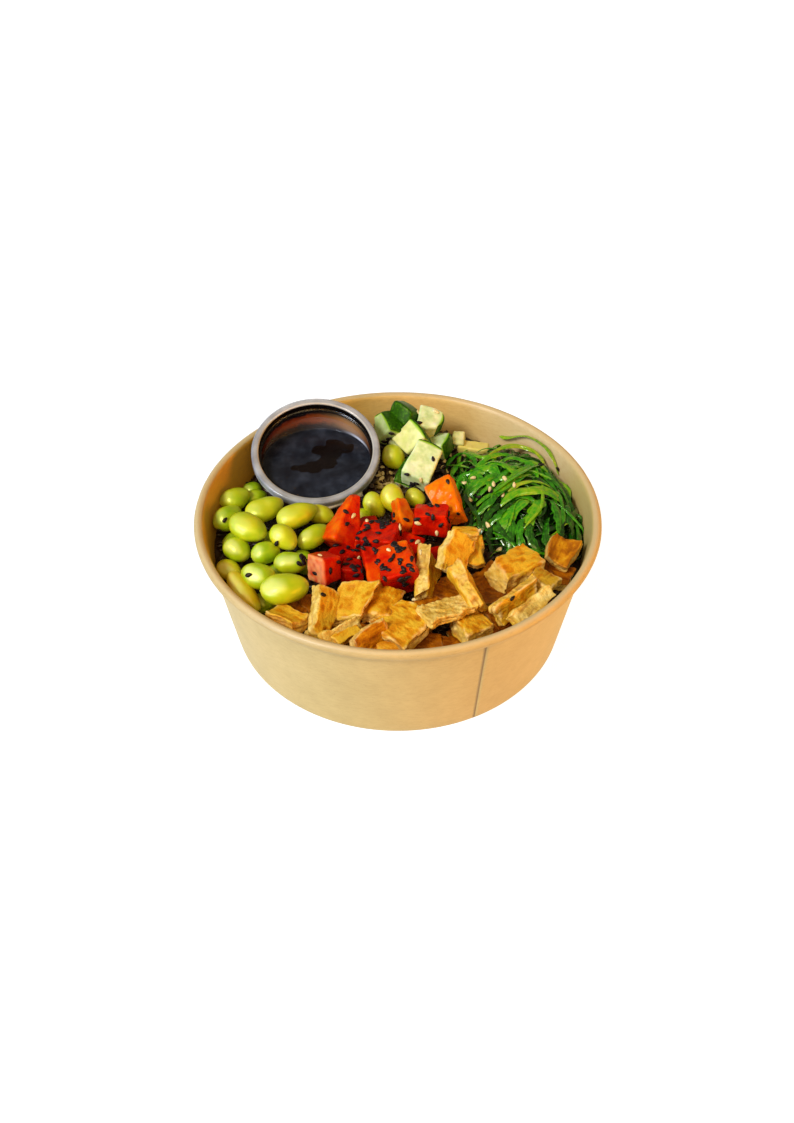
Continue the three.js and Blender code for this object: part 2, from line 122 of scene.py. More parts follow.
# Puts corners in mm, copies x corners x 3, and one copy's faces into a mesh, turned to face out, as a piece
# of the bowl. fields are numbers for each corner, kept as attributes for the material.
def putIn(name, corners, quads, fans, material, nodes, fields, catches):
    copies, each = corners.shape[:2]
    first = corners[0]
    a, b, c = (first[quads[:, i]] for i in (0, 1, 2))
    if np.einsum("ij,ij->i", a - first.mean(0), np.cross(b - a, c - a)).sum() < 0:
        quads = quads[:, ::-1]
        fans = fans[:, ::-1]
    offset = np.arange(copies)[:, None, None] * each
    faces = (quads[None] + offset).reshape(-1, 4).tolist() + (fans[None] + offset).reshape(-1, 3).tolist()
    verts = corners.reshape(-1, 3)
    mesh = bpy.data.meshes.new(name)
    mesh.from_pydata((verts * mm).tolist(), [], faces)
    mesh.polygons.foreach_set("use_smooth", [True] * len(mesh.polygons))
    for key, values in fields.items():
        attribute = mesh.attributes.new(key, "FLOAT", "POINT")
        attribute.data.foreach_set("value", values.astype(np.float32).ravel())
    mesh.materials.append(material)
    piece = bpy.data.objects.new(name, mesh)
    bpy.context.scene.collection.objects.link(piece)
    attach(piece, "root")
    if nodes:
        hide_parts(*nodes)
    if catches:
        surfaces.append((verts, faces))


# One piece from a grid of points, copies x rings x corners x 3, or one copy of it. Quads join the rings and
# fans close the two ends. A field is a number for each corner, or fewer that are spread out over them.
def addPiece(name, points, material, nodes=(), fields=None, catches=False):
    points = points[None] if points.ndim == 3 else points
    rows, columns = points.shape[1:3]
    corners = cornersOf(points)
    last = 1 + (rows - 3) * columns
    j = np.arange(columns)
    k = (j + 1) % columns
    end = corners.shape[1] - 1
    fans = [np.stack([0 * j, 1 + k, 1 + j], -1), np.stack([0 * j + end, last + j, last + k], -1)]
    grid = points.shape[:3]
    fields = {key: cornersOf(np.broadcast_to(value, grid)) for key, value in (fields or {}).items()}
    putIn(name, corners, quadsOf(rows - 2, columns, 1), np.concatenate(fans), material, nodes, fields,
          catches)


# A piece whose rings close on themselves too, such as a hoop.
def addRing(name, points, material, nodes, fields):
    rows, columns = points.shape[:2]
    corners = points.reshape(1, -1, 3)
    quads = quadsOf(rows + 1, columns, 0) % (rows * columns)
    fields = {key: np.broadcast_to(value, points.shape[:2]) for key, value in fields.items()}
    putIn(name, corners, quads, np.zeros((0, 3), int), material, nodes, fields, False)


# Points at a radius, an angle about Z and a height, all spread out to one grid.
def polar(radius, angle, height):
    return np.stack(np.broadcast_arrays(radius * np.cos(angle), radius * np.sin(angle), height), -1)


# A profile of (radius, height) points turned about Z. angles are the places of its columns.
def turned(profile, angles):
    radius, height = np.asarray(profile, float).T[..., None]
    return polar(radius, angles, height)


# Angles of so many columns round a full turn.
def fullTurn(columns):
    return np.linspace(0, 2 * np.pi, columns, endpoint=False)


# Oval rings from end to end, of t from -1 to 1. They swell as (1 - |t|^square)^blunt, and less towards the
# end that narrows.
def ovalRings(size, rings, columns, square, blunt, narrow=0.0):
    length, width, thickness = np.array(size) / 2
    t = -np.cos(np.linspace(0, np.pi, rings))[:, None]
    turn = fullTurn(columns)
    swell = (1 - np.abs(t) ** square).clip(0) ** blunt * (1 - narrow * t)
    y, z = swell * width * np.cos(turn), swell * thickness * np.sin(turn)
    return np.stack([t * length + 0 * turn, y, z], -1)


# Points at even steps along a polyline.
def evenly(points, step):
    points = np.asarray(points, float)
    run = np.concatenate([[0], np.cumsum(np.linalg.norm(np.diff(points, axis=0), axis=1))])
    count = int(np.ceil(run[-1] / step)) + 1
    at = np.linspace(0, run[-1], count)
    at[np.searchsorted(at, run[1:-1])] = run[1:-1]    # the polyline's own corners stay
    at = np.sort(at)
    return np.stack([np.interp(at, run, points[:, i]) for i in range(points.shape[1])], -1)


# A smooth curve through a few points: a Catmull-Rom spline, with its end tangents carried on.
def smoothly(points, count):
    p = np.asarray(points, float)
    p = np.concatenate([[2 * p[0] - p[1]], p, [2 * p[-1] - p[-2]]])
    s = np.linspace(0, len(p) - 3 - 1e-9, count)
    i = s.astype(int)
    t = (s - i)[:, None]
    a, b, c, d = (p[i + k] for k in range(4))
    return 0.5 * (2 * b + (c - a) * t + (2 * a - 5 * b + 4 * c - d) * t ** 2
                  + (3 * b - a - 3 * c + d) * t ** 3)


# Points on a circle from the start angle to the end angle, in degrees.
def arc(centre, radius, start, end, steps):
    turn = np.radians(np.linspace(start, end, steps))
    return np.stack([centre[0] + radius * np.cos(turn), centre[1] + radius * np.sin(turn)], -1)


# A shader node. Values that are sockets are linked and others are set.
def addNode(tree, kind, values=None, **settings):
    node = tree.nodes.new("ShaderNode" + kind)
    for key, value in settings.items():
        setattr(node, key, value)
    for key, value in (values or {}).items():
        if isinstance(value, bpy.types.NodeSocket):
            tree.links.new(value, node.inputs[key])
        else:
            node.inputs[key].default_value = value
    return node


# A material, with its tree of nodes and its shader.
def newMaterial(name):
    material = bpy.data.materials.new(name)
    material.use_nodes = True
    return material, material.node_tree, material.node_tree.nodes["Principled BSDF"]


# The place on the piece, in metres.
def objectPlace(tree):
    return addNode(tree, "TexCoord").outputs["Object"]


# Cloudy noise with features of the given size in mm; stretch lengthens them along X, Y or Z.
def clouds(tree, size, detail=3.0, rough=0.5, stretch=None):
    vector = objectPlace(tree)
    if stretch:
        scale = [1 / s for s in stretch]
        vector = addNode(tree, "Mapping", {"Vector": vector, "Scale": scale}).outputs["Vector"]
    values = {"Vector": vector, "Scale": 1 / (size * mm), "Detail": detail, "Roughness": rough}
    return addNode(tree, "TexNoise", values).outputs["Fac"]


# How far it is to the middle of the nearest cell, for cells of the given size in mm.
def cells(tree, size):
    values = {"Vector": objectPlace(tree), "Scale": 1 / (size * mm)}
    return addNode(tree, "TexVoronoi", values).outputs["Distance"]


# A number that the piece itself carries, from its mesh.
def field(tree, name):
    return addNode(tree, "Attribute", attribute_name=name).outputs["Fac"]


# A colour or a share for each value, from stops of (value, tone or share).
def ramp(tree, value, *stops):
    node = addNode(tree, "ValToRGB", {"Fac": value})
    elements = node.color_ramp.elements
    while len(elements) < len(stops):
        elements.new(0.5)
    for element, (at, colour) in zip(elements, stops):
        element.position = at
        element.color = tone(colour) if isinstance(colour, str) else (colour, colour, colour, 1)
    return node.outputs["Color"]


# The first colour where the share is 0, the second where it is 1.
def blend(tree, share, first, second):
    node = addNode(tree, "Mix", {"Factor": share}, data_type="RGBA")
    for index, value in ((6, first), (7, second)):    # the node's two colour sockets
        if isinstance(value, bpy.types.NodeSocket):
            tree.links.new(value, node.inputs[index])
        else:
            node.inputs[index].default_value = tone(value)
    return node.outputs[2]


# Lays each tone over the colour where the piece's field of that name is high.
def tinted(tree, colour, tones):
    for name, code in tones.items():
        colour = blend(tree, field(tree, name), colour, code)
    return colour


# Two values joined by the sum that how names, and kept between 0 and 1 where clamp asks for it.
def sums(tree, how, first, second, clamp=False):
    return addNode(tree, "Math", {0: first, 1: second}, operation=how, use_clamp=clamp).outputs["Value"]


# first + times x second.
def plus(tree, first, times, second, clamp=False):
    return sums(tree, "ADD", first, sums(tree, "MULTIPLY", second, times), clamp)


# Raises the surface by height x distance in mm.
def bumpy(tree, height, distance, strength=1.0):
    values = {"Height": height, "Distance": distance * mm, "Strength": strength}
    return addNode(tree, "Bump", values).outputs["Normal"]


# Links or sets the shader's sockets, named in short.
def setAll(tree, shader, **values):
    names = {
        "colour": "Base Color", "rough": "Roughness", "normal": "Normal", "alpha": "Alpha", "ior": "IOR",
        "coat": "Coat Weight", "coatRough": "Coat Roughness", "gloss": "Specular IOR Level",
        "glossTone": "Specular Tint", "under": "Subsurface Weight", "underScale": "Subsurface Scale",
        "underRadius": "Subsurface Radius",
    }
    for key, value in values.items():
        socket = shader.inputs[names[key]]
        if isinstance(value, bpy.types.NodeSocket):
            tree.links.new(value, socket)
        elif isinstance(value, str):
            socket.default_value = tone(value)
        else:
            socket.default_value = value


# Camera, floor and light.
view = {
    "elevation": 42.7,       # the camera looks down by this much, along +Y
    "distance": 500,
    "target": 32,            # height that it turns about
    "lens": 33.56,
    "sensor": 36,            # the height of what the lens draws on
    "shift": (-0.0007, -0.0053),
    "frame": (794, 1123),    # width and height in pixels
    "farthest": 100,         # it sees this many metres
}
lights = {
    # place, height aimed at, power in watts (or a sun's strength), tone, and width or a sun's angle
    "sun": {"at": (-0.6, -0.42, 0.75), "aim": 0, "power": 2.75, "tone": "#f8faff", "angle": 18},
    "front": {"at": (40, -430, 620), "aim": 45, "power": 1.3, "tone": "#ffdc9e", "width": 420},
    "left": {"at": (-520, -360, 200), "aim": 45, "power": 2.3, "tone": "#b4d2ff", "width": 300},
    "right": {"at": (560, -300, 150), "aim": 45, "power": 2.8, "tone": "#ffa638", "width": 300},
}
room = {
    "world": 0.26, "sky": "#ffeccc", "floor": "#8a8a8b", "floorSize": 8000,
    # the floor glows, and its glow turns warm across, by glowTurn per metre
    "floorGlow": 0.95, "glowLeft": "#e8f2ff", "glowRight": "#fff08c", "glowTurn": 1.6,
}


# Turns a camera or lamp at a place so that it looks at the target.
def lookAt(thing, at, target):
    thing.location = Vector(at) * mm
    thing.rotation_euler = (Vector(target) * mm - thing.location).to_track_quat("-Z", "Y").to_euler()


# The camera's place: back along -Y by distance x cos(elevation), and up by distance x sin(elevation).
def cameraPlace():
    down = np.radians(view["elevation"])
    return 0, -view["distance"] * np.cos(down), view["target"] + view["distance"] * np.sin(down)


def makeStage():
    scene = bpy.context.scene
    scene.view_settings.view_transform = "Standard"
    camera = bpy.data.cameras.new("camera")
    camera.sensor_fit = "VERTICAL"
    camera.sensor_height = view["sensor"]
    camera.lens = view["lens"]
    camera.shift_x, camera.shift_y = view["shift"]
    camera.clip_end = view["farthest"]
    eye = bpy.data.objects.new("camera", camera)
    scene.collection.objects.link(eye)
    lookAt(eye, cameraPlace(), (0, 0, view["target"]))
    scene.camera = eye

    for name, row in lights.items():
        lamp = bpy.data.lights.new(name, "SUN" if "angle" in row else "AREA")
        lamp.color = tone(row["tone"])[:3]
        lamp.energy = row["power"]
        if "angle" in row:
            lamp.angle = np.radians(row["angle"])
        else:
            lamp.shape = "DISK"
            lamp.size = row["width"] * mm
        holder = bpy.data.objects.new(name, lamp)
        scene.collection.objects.link(holder)
        lookAt(holder, row["at"], (0, 0, row["aim"]))

    # a soft warm sky lights the food, and behind the floor's far edge it is white
    world = bpy.data.worlds.new("studio")
    world.use_nodes = True
    tree = world.node_tree
    sky = tree.nodes["Background"]
    sky.inputs["Strength"].default_value = room["world"]
    sky.inputs["Color"].default_value = tone(room["sky"])
    white = addNode(tree, "Background", {"Color": (1, 1, 1, 1), "Strength": 1.0})
    seen = addNode(tree, "LightPath")
    either = addNode(tree, "MixShader", {0: seen.outputs["Is Camera Ray"]})
    tree.links.new(sky.outputs[0], either.inputs[1])
    tree.links.new(white.outputs[0], either.inputs[2])
    tree.links.new(either.outputs[0], tree.nodes["World Output"].inputs["Surface"])
    scene.world = world

    half = room["floorSize"] * mm / 2
    mesh = bpy.data.meshes.new("floor")
    corners = [(-half, -half, 0), (half, -half, 0), (half, half, 0), (-half, half, 0)]
    mesh.from_pydata(corners, [], [(0, 1, 2, 3)])
    material, tree, shader = newMaterial("floor")
    setAll(tree, shader, colour=room["floor"], rough=0.9, gloss=0.1)
    across = addNode(tree, "SeparateXYZ", {"Vector": objectPlace(tree)}).outputs["X"]
    share = plus(tree, 0.5, room["glowTurn"], across, True)
    glow = blend(tree, share, room["glowLeft"], room["glowRight"])
    glow = blend(tree, addNode(tree, "LightPath").outputs["Is Camera Ray"], glow, "#ffffff")
    tree.links.new(glow, shader.inputs["Emission Color"])
    shader.inputs["Emission Strength"].default_value = room["floorGlow"]
    mesh.materials.append(material)
    floor = bpy.data.objects.new("floor", mesh)
    scene.collection.objects.link(floor)


# The paper bowl.
bowl = {
    "rimRadius": 92.5, "height": 64, "footRadius": 80, "wall": 0.9, "rollRadius": 2.2, "footWidth": 1.8,
    "floorHeight": 7, "columns": 360, "step": 1.1,
    "roundings": (0.6, 0.4, 1.2),      # under the floor, at the foot's edges and round the floor inside
    "ridgeHeight": 57, "ridgeDepth": 0.35, "ridgeSpread": 0.9,
    "seamAngle": -66, "seamTurn": 1.3, "seamStep": 0.45, "seamFade": 26, "seamFace": 0.12,
    "dents": ((0.16, 26), (0.05, 7)),  # depth and size of its unevenness
    "tones": {
        "paper": ((0.3, "#b49a62"), (0.7, "#bfa46b")), "fibres": "#a08347", "specks": "#916835",
        "inside": ((0.3, "#d3b36a"), (0.7, "#ddbe79")), "insideFibres": "#b08440",
        # painted light on the inside: warm shade, paler lit paper and a green reflection from the seaweed
        "lightingTints": {"shadeTint": "#dc9d08", "lightTint": "#c8b083", "greenReflection": "#b3a05e"},
        # the dark seam with painted shade under the roll and ridge, and a painted highlight on them
        "edges": {"crestHighlight": "#ccb382", "edge": "#7d5a33"},
    },
}
rollCentre = (bowl["rimRadius"] - bowl["rollRadius"], bowl["height"] - bowl["rollRadius"])
wallTop = rollCentre[0] - bowl["rollRadius"] + bowl["wall"]
wallSlope = (wallTop - bowl["footRadius"]) / rollCentre[1]


# The wall's outer radius at height z, footRadius + wallSlope x z, and its inner one, less by its thickness.
def outerWall(z):
    return bowl["footRadius"] + wallSlope * z


def innerWall(z):
    return outerWall(z) - bowl["wall"]


# Mottled paper with short level fibres and a few specks. Inside it is glazed. Painted shade, light and
# highlights lie on it.
def kraftPaper():
    material, tree, shader = newMaterial("kraft_paper")
    tones = bowl["tones"]
    mottle = clouds(tree, 14, 4, 0.6)
    fibres = clouds(tree, 1.1, 4, 0.7, stretch=(3, 3, 0.8))
    specks = cells(tree, 1.9)
    body = ramp(tree, mottle, *tones["paper"])
    body = blend(tree, ramp(tree, fibres, (0.42, 0.0), (0.7, 0.35)), body, tones["fibres"])
    body = blend(tree, ramp(tree, specks, (0.05, 0.35), (0.16, 0.0)), body, tones["specks"])
    inner = tinted(tree, ramp(tree, mottle, *tones["inside"]), tones["lightingTints"])
    inner = blend(tree, ramp(tree, fibres, (0.42, 0.0), (0.7, 0.3)), inner, tones["insideFibres"])
    body = tinted(tree, blend(tree, field(tree, "inside"), body, inner), tones["edges"])
    grain = plus(tree, fibres, 0.6, mottle)
    setAll(tree, shader, colour=body, rough=0.5, gloss=0.4, coat=0.15, coatRough=0.25,
           normal=bumpy(tree, grain, 0.05, 0.5))
    return material


# The wall's profile turned round. Columns start at the edge of the wall's overlap, which leans a little
# round from top to foot; outside, the paper stands out by its thickness there and runs out round the bowl.
def makeBowl():
    foot, top, ridge = bowl["footRadius"], bowl["height"], bowl["ridgeHeight"]
    floor = bowl["floorHeight"]
    under = floor - bowl["wall"]
    tuck = foot - bowl["footWidth"]
    rollFoot = rollCentre[1] - bowl["rollRadius"]
    fold, edge, corner = bowl["roundings"]
    rise = np.arange(ridge - 3, ridge + 2.6, 0.4)
    profile = evenly(np.concatenate([
        [(0, under), (tuck - fold, under)],
        arc((tuck - fold, under - fold), fold, 90, 0, 5)[1:],
        arc((tuck + edge, edge), edge, 180, 270, 5),
        arc((foot - edge, edge), edge, 270, 360, 5),
        np.stack([outerWall(rise) + bowl["ridgeDepth"] * hump(rise, ridge, bowl["ridgeSpread"]), rise], -1),
        arc(rollCentre, bowl["rollRadius"], -138, 180, 30),
        arc((innerWall(floor) - corner, floor + corner), corner, 0, -90, 6),
        [(0, floor)],
    ]), bowl["step"])
    height = profile[:, 1:2]
    past = np.append(np.arange(bowl["columns"]) * (360 / bowl["columns"]), 360 - bowl["seamFace"])
    angle = np.radians(bowl["seamAngle"] + bowl["seamTurn"] * (1 - height / top) + past)
    radius = np.broadcast_to(profile[:, :1], angle.shape)
    wallMiddle = outerWall(height) - bowl["wall"] / 2
    outside = (radius > wallMiddle) & (height < rollFoot)
    inside = (radius < rollCentre[0] - 1.2) & (radius < wallMiddle) & (height > under)

    lift = bowl["seamStep"] * np.clip(1 - past / bowl["seamFade"], 0, 1) * outside
    lift = lift * ease(height, 0, 2) * ease(rollFoot - height, 0, 3)
    points = polar(radius, angle, height)
    dents = sum(depth * noise(points, size, 3 + i) for i, (depth, size) in enumerate(bowl["dents"]))
    dents = dents * ease(radius, foot - 12, foot - 4) * ease(height, 0.5, 6)
    points = polar(radius + lift + dents, angle, height)

    # dark at the seam; painted shade under the roll and the ridge; painted highlight along the roll's top and
    # the ridge
    seam = past == past[-1]      # the paper's cut edge
    creases = 0.28 * hump(height, rollCentre[1] - 2.2, 0.7) + 0.22 * hump(height, ridge - 1.3, 0.6)
    # painted shade on the roll's outer lower side
    rollShade = 0.2 * (radius > rollCentre[0] + 0.6) * ease(-height, 1.3 - top, 1.9 - top)
    rollShade = rollShade * ease(height, rollCentre[1] - 1.8, rollCentre[1] - 1)
    crestHighlight = 0.75 * ease(height, top - 0.9, top - 0.1) + 0.6 * outside * hump(height, ridge + 0.3, 0.6)
    # painted light inside: warm dark shade beside the beans, paler where light falls on the seaweed's side, a
    # green reflection
    x, y = points[..., 0], points[..., 1]
    addPiece("paper_bowl", points, kraftPaper(), ["bowl"], {
        "edge": outside * np.maximum(seam, creases) + rollShade, "crestHighlight": crestHighlight, "inside": inside,
        "shadeTint": 0.8 * ease(-x + 0.3 * y, 15, 75), "lightTint": 0.9 * ease(x, 15, 80),
        "greenReflection": 0.9 * ease(x, 55, 85) * ease(-y, -45, -15),
    })


# The leaning cup of sauce with its lid.
cup = {
    "at": (-39.7, 39.3, 64.6), "lean": 17.9, "tip": 1.3, "mouthRadius": 29.6, "lipRadius": 30.3,
    "footRadius": 21.4, "height": 27, "wall": 0.8, "columns": 160,
    # of a plastic: two tones, alpha, roughness and gloss
    "plastic": (("#b4b6b8", "#c9cacb"), 0.1, 0.2, 0.4),
}
lid = {
    "radius": 31.2, "channelInner": 27.5, "channelTop": 1.6, "panelDepth": 2.4, "skirt": 2.8, "wall": 0.6,
    "tabAngle": -63, "tabHalf": 20, "tabReach": 2.6,
    "depth": 4,              # food keeps clear of it this far below the mouth and above its top
    "plastic": (("#92949a", "#bcbfc2"), 0.6, 0.2, 0.6),
    "panelPlastic": (("#181b22", "#262a33"), 0.06, 0.1, 0.25),
    "tones": {"lip": "#f3e6c8", "stained": "#0d0704"},
}
sauce = {
    "level": 57.5, "intoWall": 0.15, "film": 0.25, "clearance": 0.35,
    # dark brown drops of sauce against the panel, where the painted reflection is left out: x, y and radius
    "blotch": [(-38, 49, 4.6), (-31, 54, 5.5), (-26.5, 51, 5), (-33, 46, 6.5), (-35, 40, 6), (-41, 36, 5),
               (-46, 34.5, 3.6), (-50, 35, 2.4)],
    # bearings round the cup and how far each reaches, in degrees: where the film is thin and lets light
    # through, where it is lit (elsewhere it gets painted shade), and where it has a painted glint
    "clearSide": (48, 27), "litSide": (84, 58), "glintSide": (36, 15),
    "meniscus": (0.5, 0.8),          # how high and how wide it climbs at its edge
    "rings": (34, 12, 24),           # of its level top, of the film and of the side under it
    "tones": {
        # the level top is near black sauce under a painted blue-grey reflection
        "top": ((0.3, "#15141a"), (0.5, "#22252d"), (0.7, "#343842")),
        "spots": "#4a3a20", "blotches": "#120802",
        "film": ((0.15, "#120c10"), (0.4, "#2c1206"), (0.62, "#9c4606"), (0.84, "#7c3606"), (0.95, "#120602"),
                 (1.0, "#0c0402")),
        # thick is painted shade on the film away from its lit side, and glint a painted highlight
        "sides": {"thin": "#bb8c58", "thick": "#170b06", "glint": "#f2f4ff"},
    },
}


# The cup's own axes, as rows: tip about Y after lean about X.
def cupAxes():
    return turning(0, -cup["tip"], cup["lean"]).T


# From the cup's own frame, with the mouth in the plane z = 0, to its place.
def inCupPlace(points):
    return points @ cupAxes() + np.array(cup["at"])


# The cup's outer radius at height z in its own frame, where it widens evenly up to the mouth.
def cupOutside(z):
    return cup["footRadius"] + (cup["mouthRadius"] - cup["footRadius"]) * (z + cup["height"]) / cup["height"]


# Food is pressed back where it would pass through the bowl's wall or into the lidded cup: its distance from
# that one's axis becomes the radius there, give or take the clearance.
def keptClear(points):
    local = (points - np.array(cup["at"])) @ cupAxes().T
    r = np.linalg.norm(local[..., :2], axis=-1)
    z = local[..., 2]
    reach = np.where(z < -lid["depth"], cupOutside(z), lid["radius"]) + sauce["clearance"]
    inside = (r < reach) & (z < lid["channelTop"] + lid["depth"]) & (z > -cup["height"] - 1)
    local[..., :2] *= np.where(inside, reach / np.maximum(r, 1e-6), 1)[..., None]
    points = np.where(inside[..., None], inCupPlace(local), points)
    r = np.linalg.norm(points[..., :2], axis=-1)
    reach = innerWall(np.minimum(points[..., 2], rollCentre[1])) - sauce["clearance"]
    points[..., :2] *= np.minimum(1, reach / np.maximum(r, 1e-6))[..., None]
    return points


# Hazy plastic between two tones, warm where the lip catches light and dark where sauce lies behind it.
def clearPlastic(name, tones, alpha, rough, gloss):
    material, tree, shader = newMaterial(name)
    haze = clouds(tree, 7, 2, 0.5)
    shade = tinted(tree, ramp(tree, haze, (0.3, tones[0]), (0.7, tones[1])), lid["tones"])
    setAll(tree, shader, colour=shade, rough=rough, alpha=alpha, gloss=gloss,
           normal=bumpy(tree, haze, 0.05, 0.3))
    return material


# Nearly black where it lies against the panel, under a painted blue-grey reflection, with browner blotches
# where that is left out; amber to dark as a film on the wall, with painted shade and a painted glint.
def sauceLiquid():
    material, tree, shader = newMaterial("sauce")
    tones = sauce["tones"]
    drift = clouds(tree, 7, 4, 0.6)
    spots = ramp(tree, clouds(tree, 2.4, 2, 0.5), (0.7, 0.0), (0.78, 0.8))
    # the blue-grey top is a painted reflection, left out over the blotches
    top = blend(tree, spots, ramp(tree, drift, *tones["top"]), tones["spots"])
    blotches = plus(tree, field(tree, "blotch"), 0.5, clouds(tree, 5, 3, 0.6))
    top = blend(tree, ramp(tree, blotches, (0.68, 0.0), (0.74, 1.0)), top, tones["blotches"])
    height = plus(tree, field(tree, "film"), 0.3, clouds(tree, 4, 3, 0.6))
    film = tinted(tree, ramp(tree, height, *tones["film"]), tones["sides"])
    colour = blend(tree, ramp(tree, field(tree, "film"), (0.01, 0.0), (0.06, 1.0)), top, film)
    setAll(tree, shader, colour=colour, rough=0.14, ior=1.34, gloss=0.2, normal=bumpy(tree, drift, 0.12, 0.3))
    return material


# The cup and the lid are profiles turned round the cup's axis. The panel is a thin disc, a little crowned.
def makeCup():
    angles = fullTurn(cup["columns"])
    wall, foot, base = cup["wall"], cup["footRadius"], -cup["height"]
    profile = evenly(np.concatenate([
        [(0, base), (foot - 1.5, base)],
        arc((foot - 1.2, base + 1.2), 1.2, -90, 0, 6),
        [(cupOutside(-2.6), -2.6)],
        arc((cup["lipRadius"] - 0.5, -1.6), 0.6, -90, 90, 9),
        [(cup["mouthRadius"] - wall, -0.95), (cupOutside(-4) - wall, -4)],
        arc((foot - wall - 1, base + wall + 1), 1, 0, -90, 6),
        [(0, base + wall)],
    ]), 1.0)
    material = clearPlastic("cup_plastic", *cup["plastic"])
    addPiece("sauce_cup_wall", inCupPlace(turned(profile, angles)), material, ["sauce_cup"])

    # the lid's raised channel and skirt
    top, inner, outer = lid["channelTop"], lid["channelInner"], lid["radius"]
    panel = -lid["panelDepth"]
    points = turned(evenly(np.concatenate([
        [(inner - 1.1, panel - 0.3)],
        arc((inner - 0.9, panel + 0.5), 0.9, -60, 0, 5),
        arc((inner + 0.9, top - 0.9), 0.9, 180, 90, 7),
        arc((outer - 1.1, top - 1.0), 1.0, 90, 0, 8),
        arc((outer - 0.2, -lid["skirt"] + 0.25), 0.25, 0, -180, 7),
        arc((outer - 1.1, top - 1.1), 0.5, 0, 90, 5),
        arc((inner + 1.2, top - 1.1), 0.5, 90, 180, 5),
        arc((inner - 0.4, panel + 0.5), 1.1, 0, -80, 6),
        [(inner - 1.1, panel - 0.5)],
    ]), 0.5), angles)
    r = np.linalg.norm(points[..., :2], axis=-1)
    off = np.degrees(np.arctan2(points[..., 1], points[..., 0])) - lid["tabAngle"]
    # the tab has a straight edge, so it stands out most at its two ends
    straight = np.clip((outer + 0.9) / np.cos(np.radians(np.clip(off, -40, 40))) - outer, 0, lid["tabReach"])
    tab = straight * ease(-np.abs(off), -lid["tabHalf"], 2 - lid["tabHalf"])
    reach = tab * ease(-points[..., 2], 2.2, 2.9) * ease(r, outer - 0.5, outer)
    points[..., :2] *= (1 + reach / np.maximum(r, 1))[..., None]
    # light caught on the channel's inner lip, in its groove and on the tab's edge
    lip = 0.85 * hump(r, inner + 0.25, 0.45) * ease(points[..., 2], -1.6, top)
    groove = 0.25 * hump(r, inner + 1.9, 0.5) * (points[..., 2] > 0)
    edge = 0.95 * ease(tab, 0.1, 0.4) * ease(-points[..., 2], 1.5, 2.1) * ease(r, outer - 0.5, outer - 0.2)
    # sauce behind the channel's inner side
    stained = ease(-r, -inner - 0.7, -inner - 0.3) * ease(-points[..., 2], 0.5 - top, 0.9 - top)
    material = clearPlastic("lid_plastic", *lid["plastic"])
    addRing("sauce_cup_cover", inCupPlace(points), material, ["sauce_cup_lid"],
            {"lip": np.maximum(np.maximum(lip, groove), edge), "stained": stained})

    # the clear panel inside the channel
    part = np.linspace(0, 1, 16)
    part = np.concatenate([part, part[::-1]])
    height = np.repeat([panel, panel - lid["wall"]], 16) + 0.25 * np.sin(np.pi * part)
    points = turned(np.stack([part * (inner - 0.9), height], -1), angles)
    material = clearPlastic("panel_plastic", *lid["panelPlastic"])
    addPiece("sauce_cup_panel", inCupPlace(points), material, ["sauce_cup_lid"])


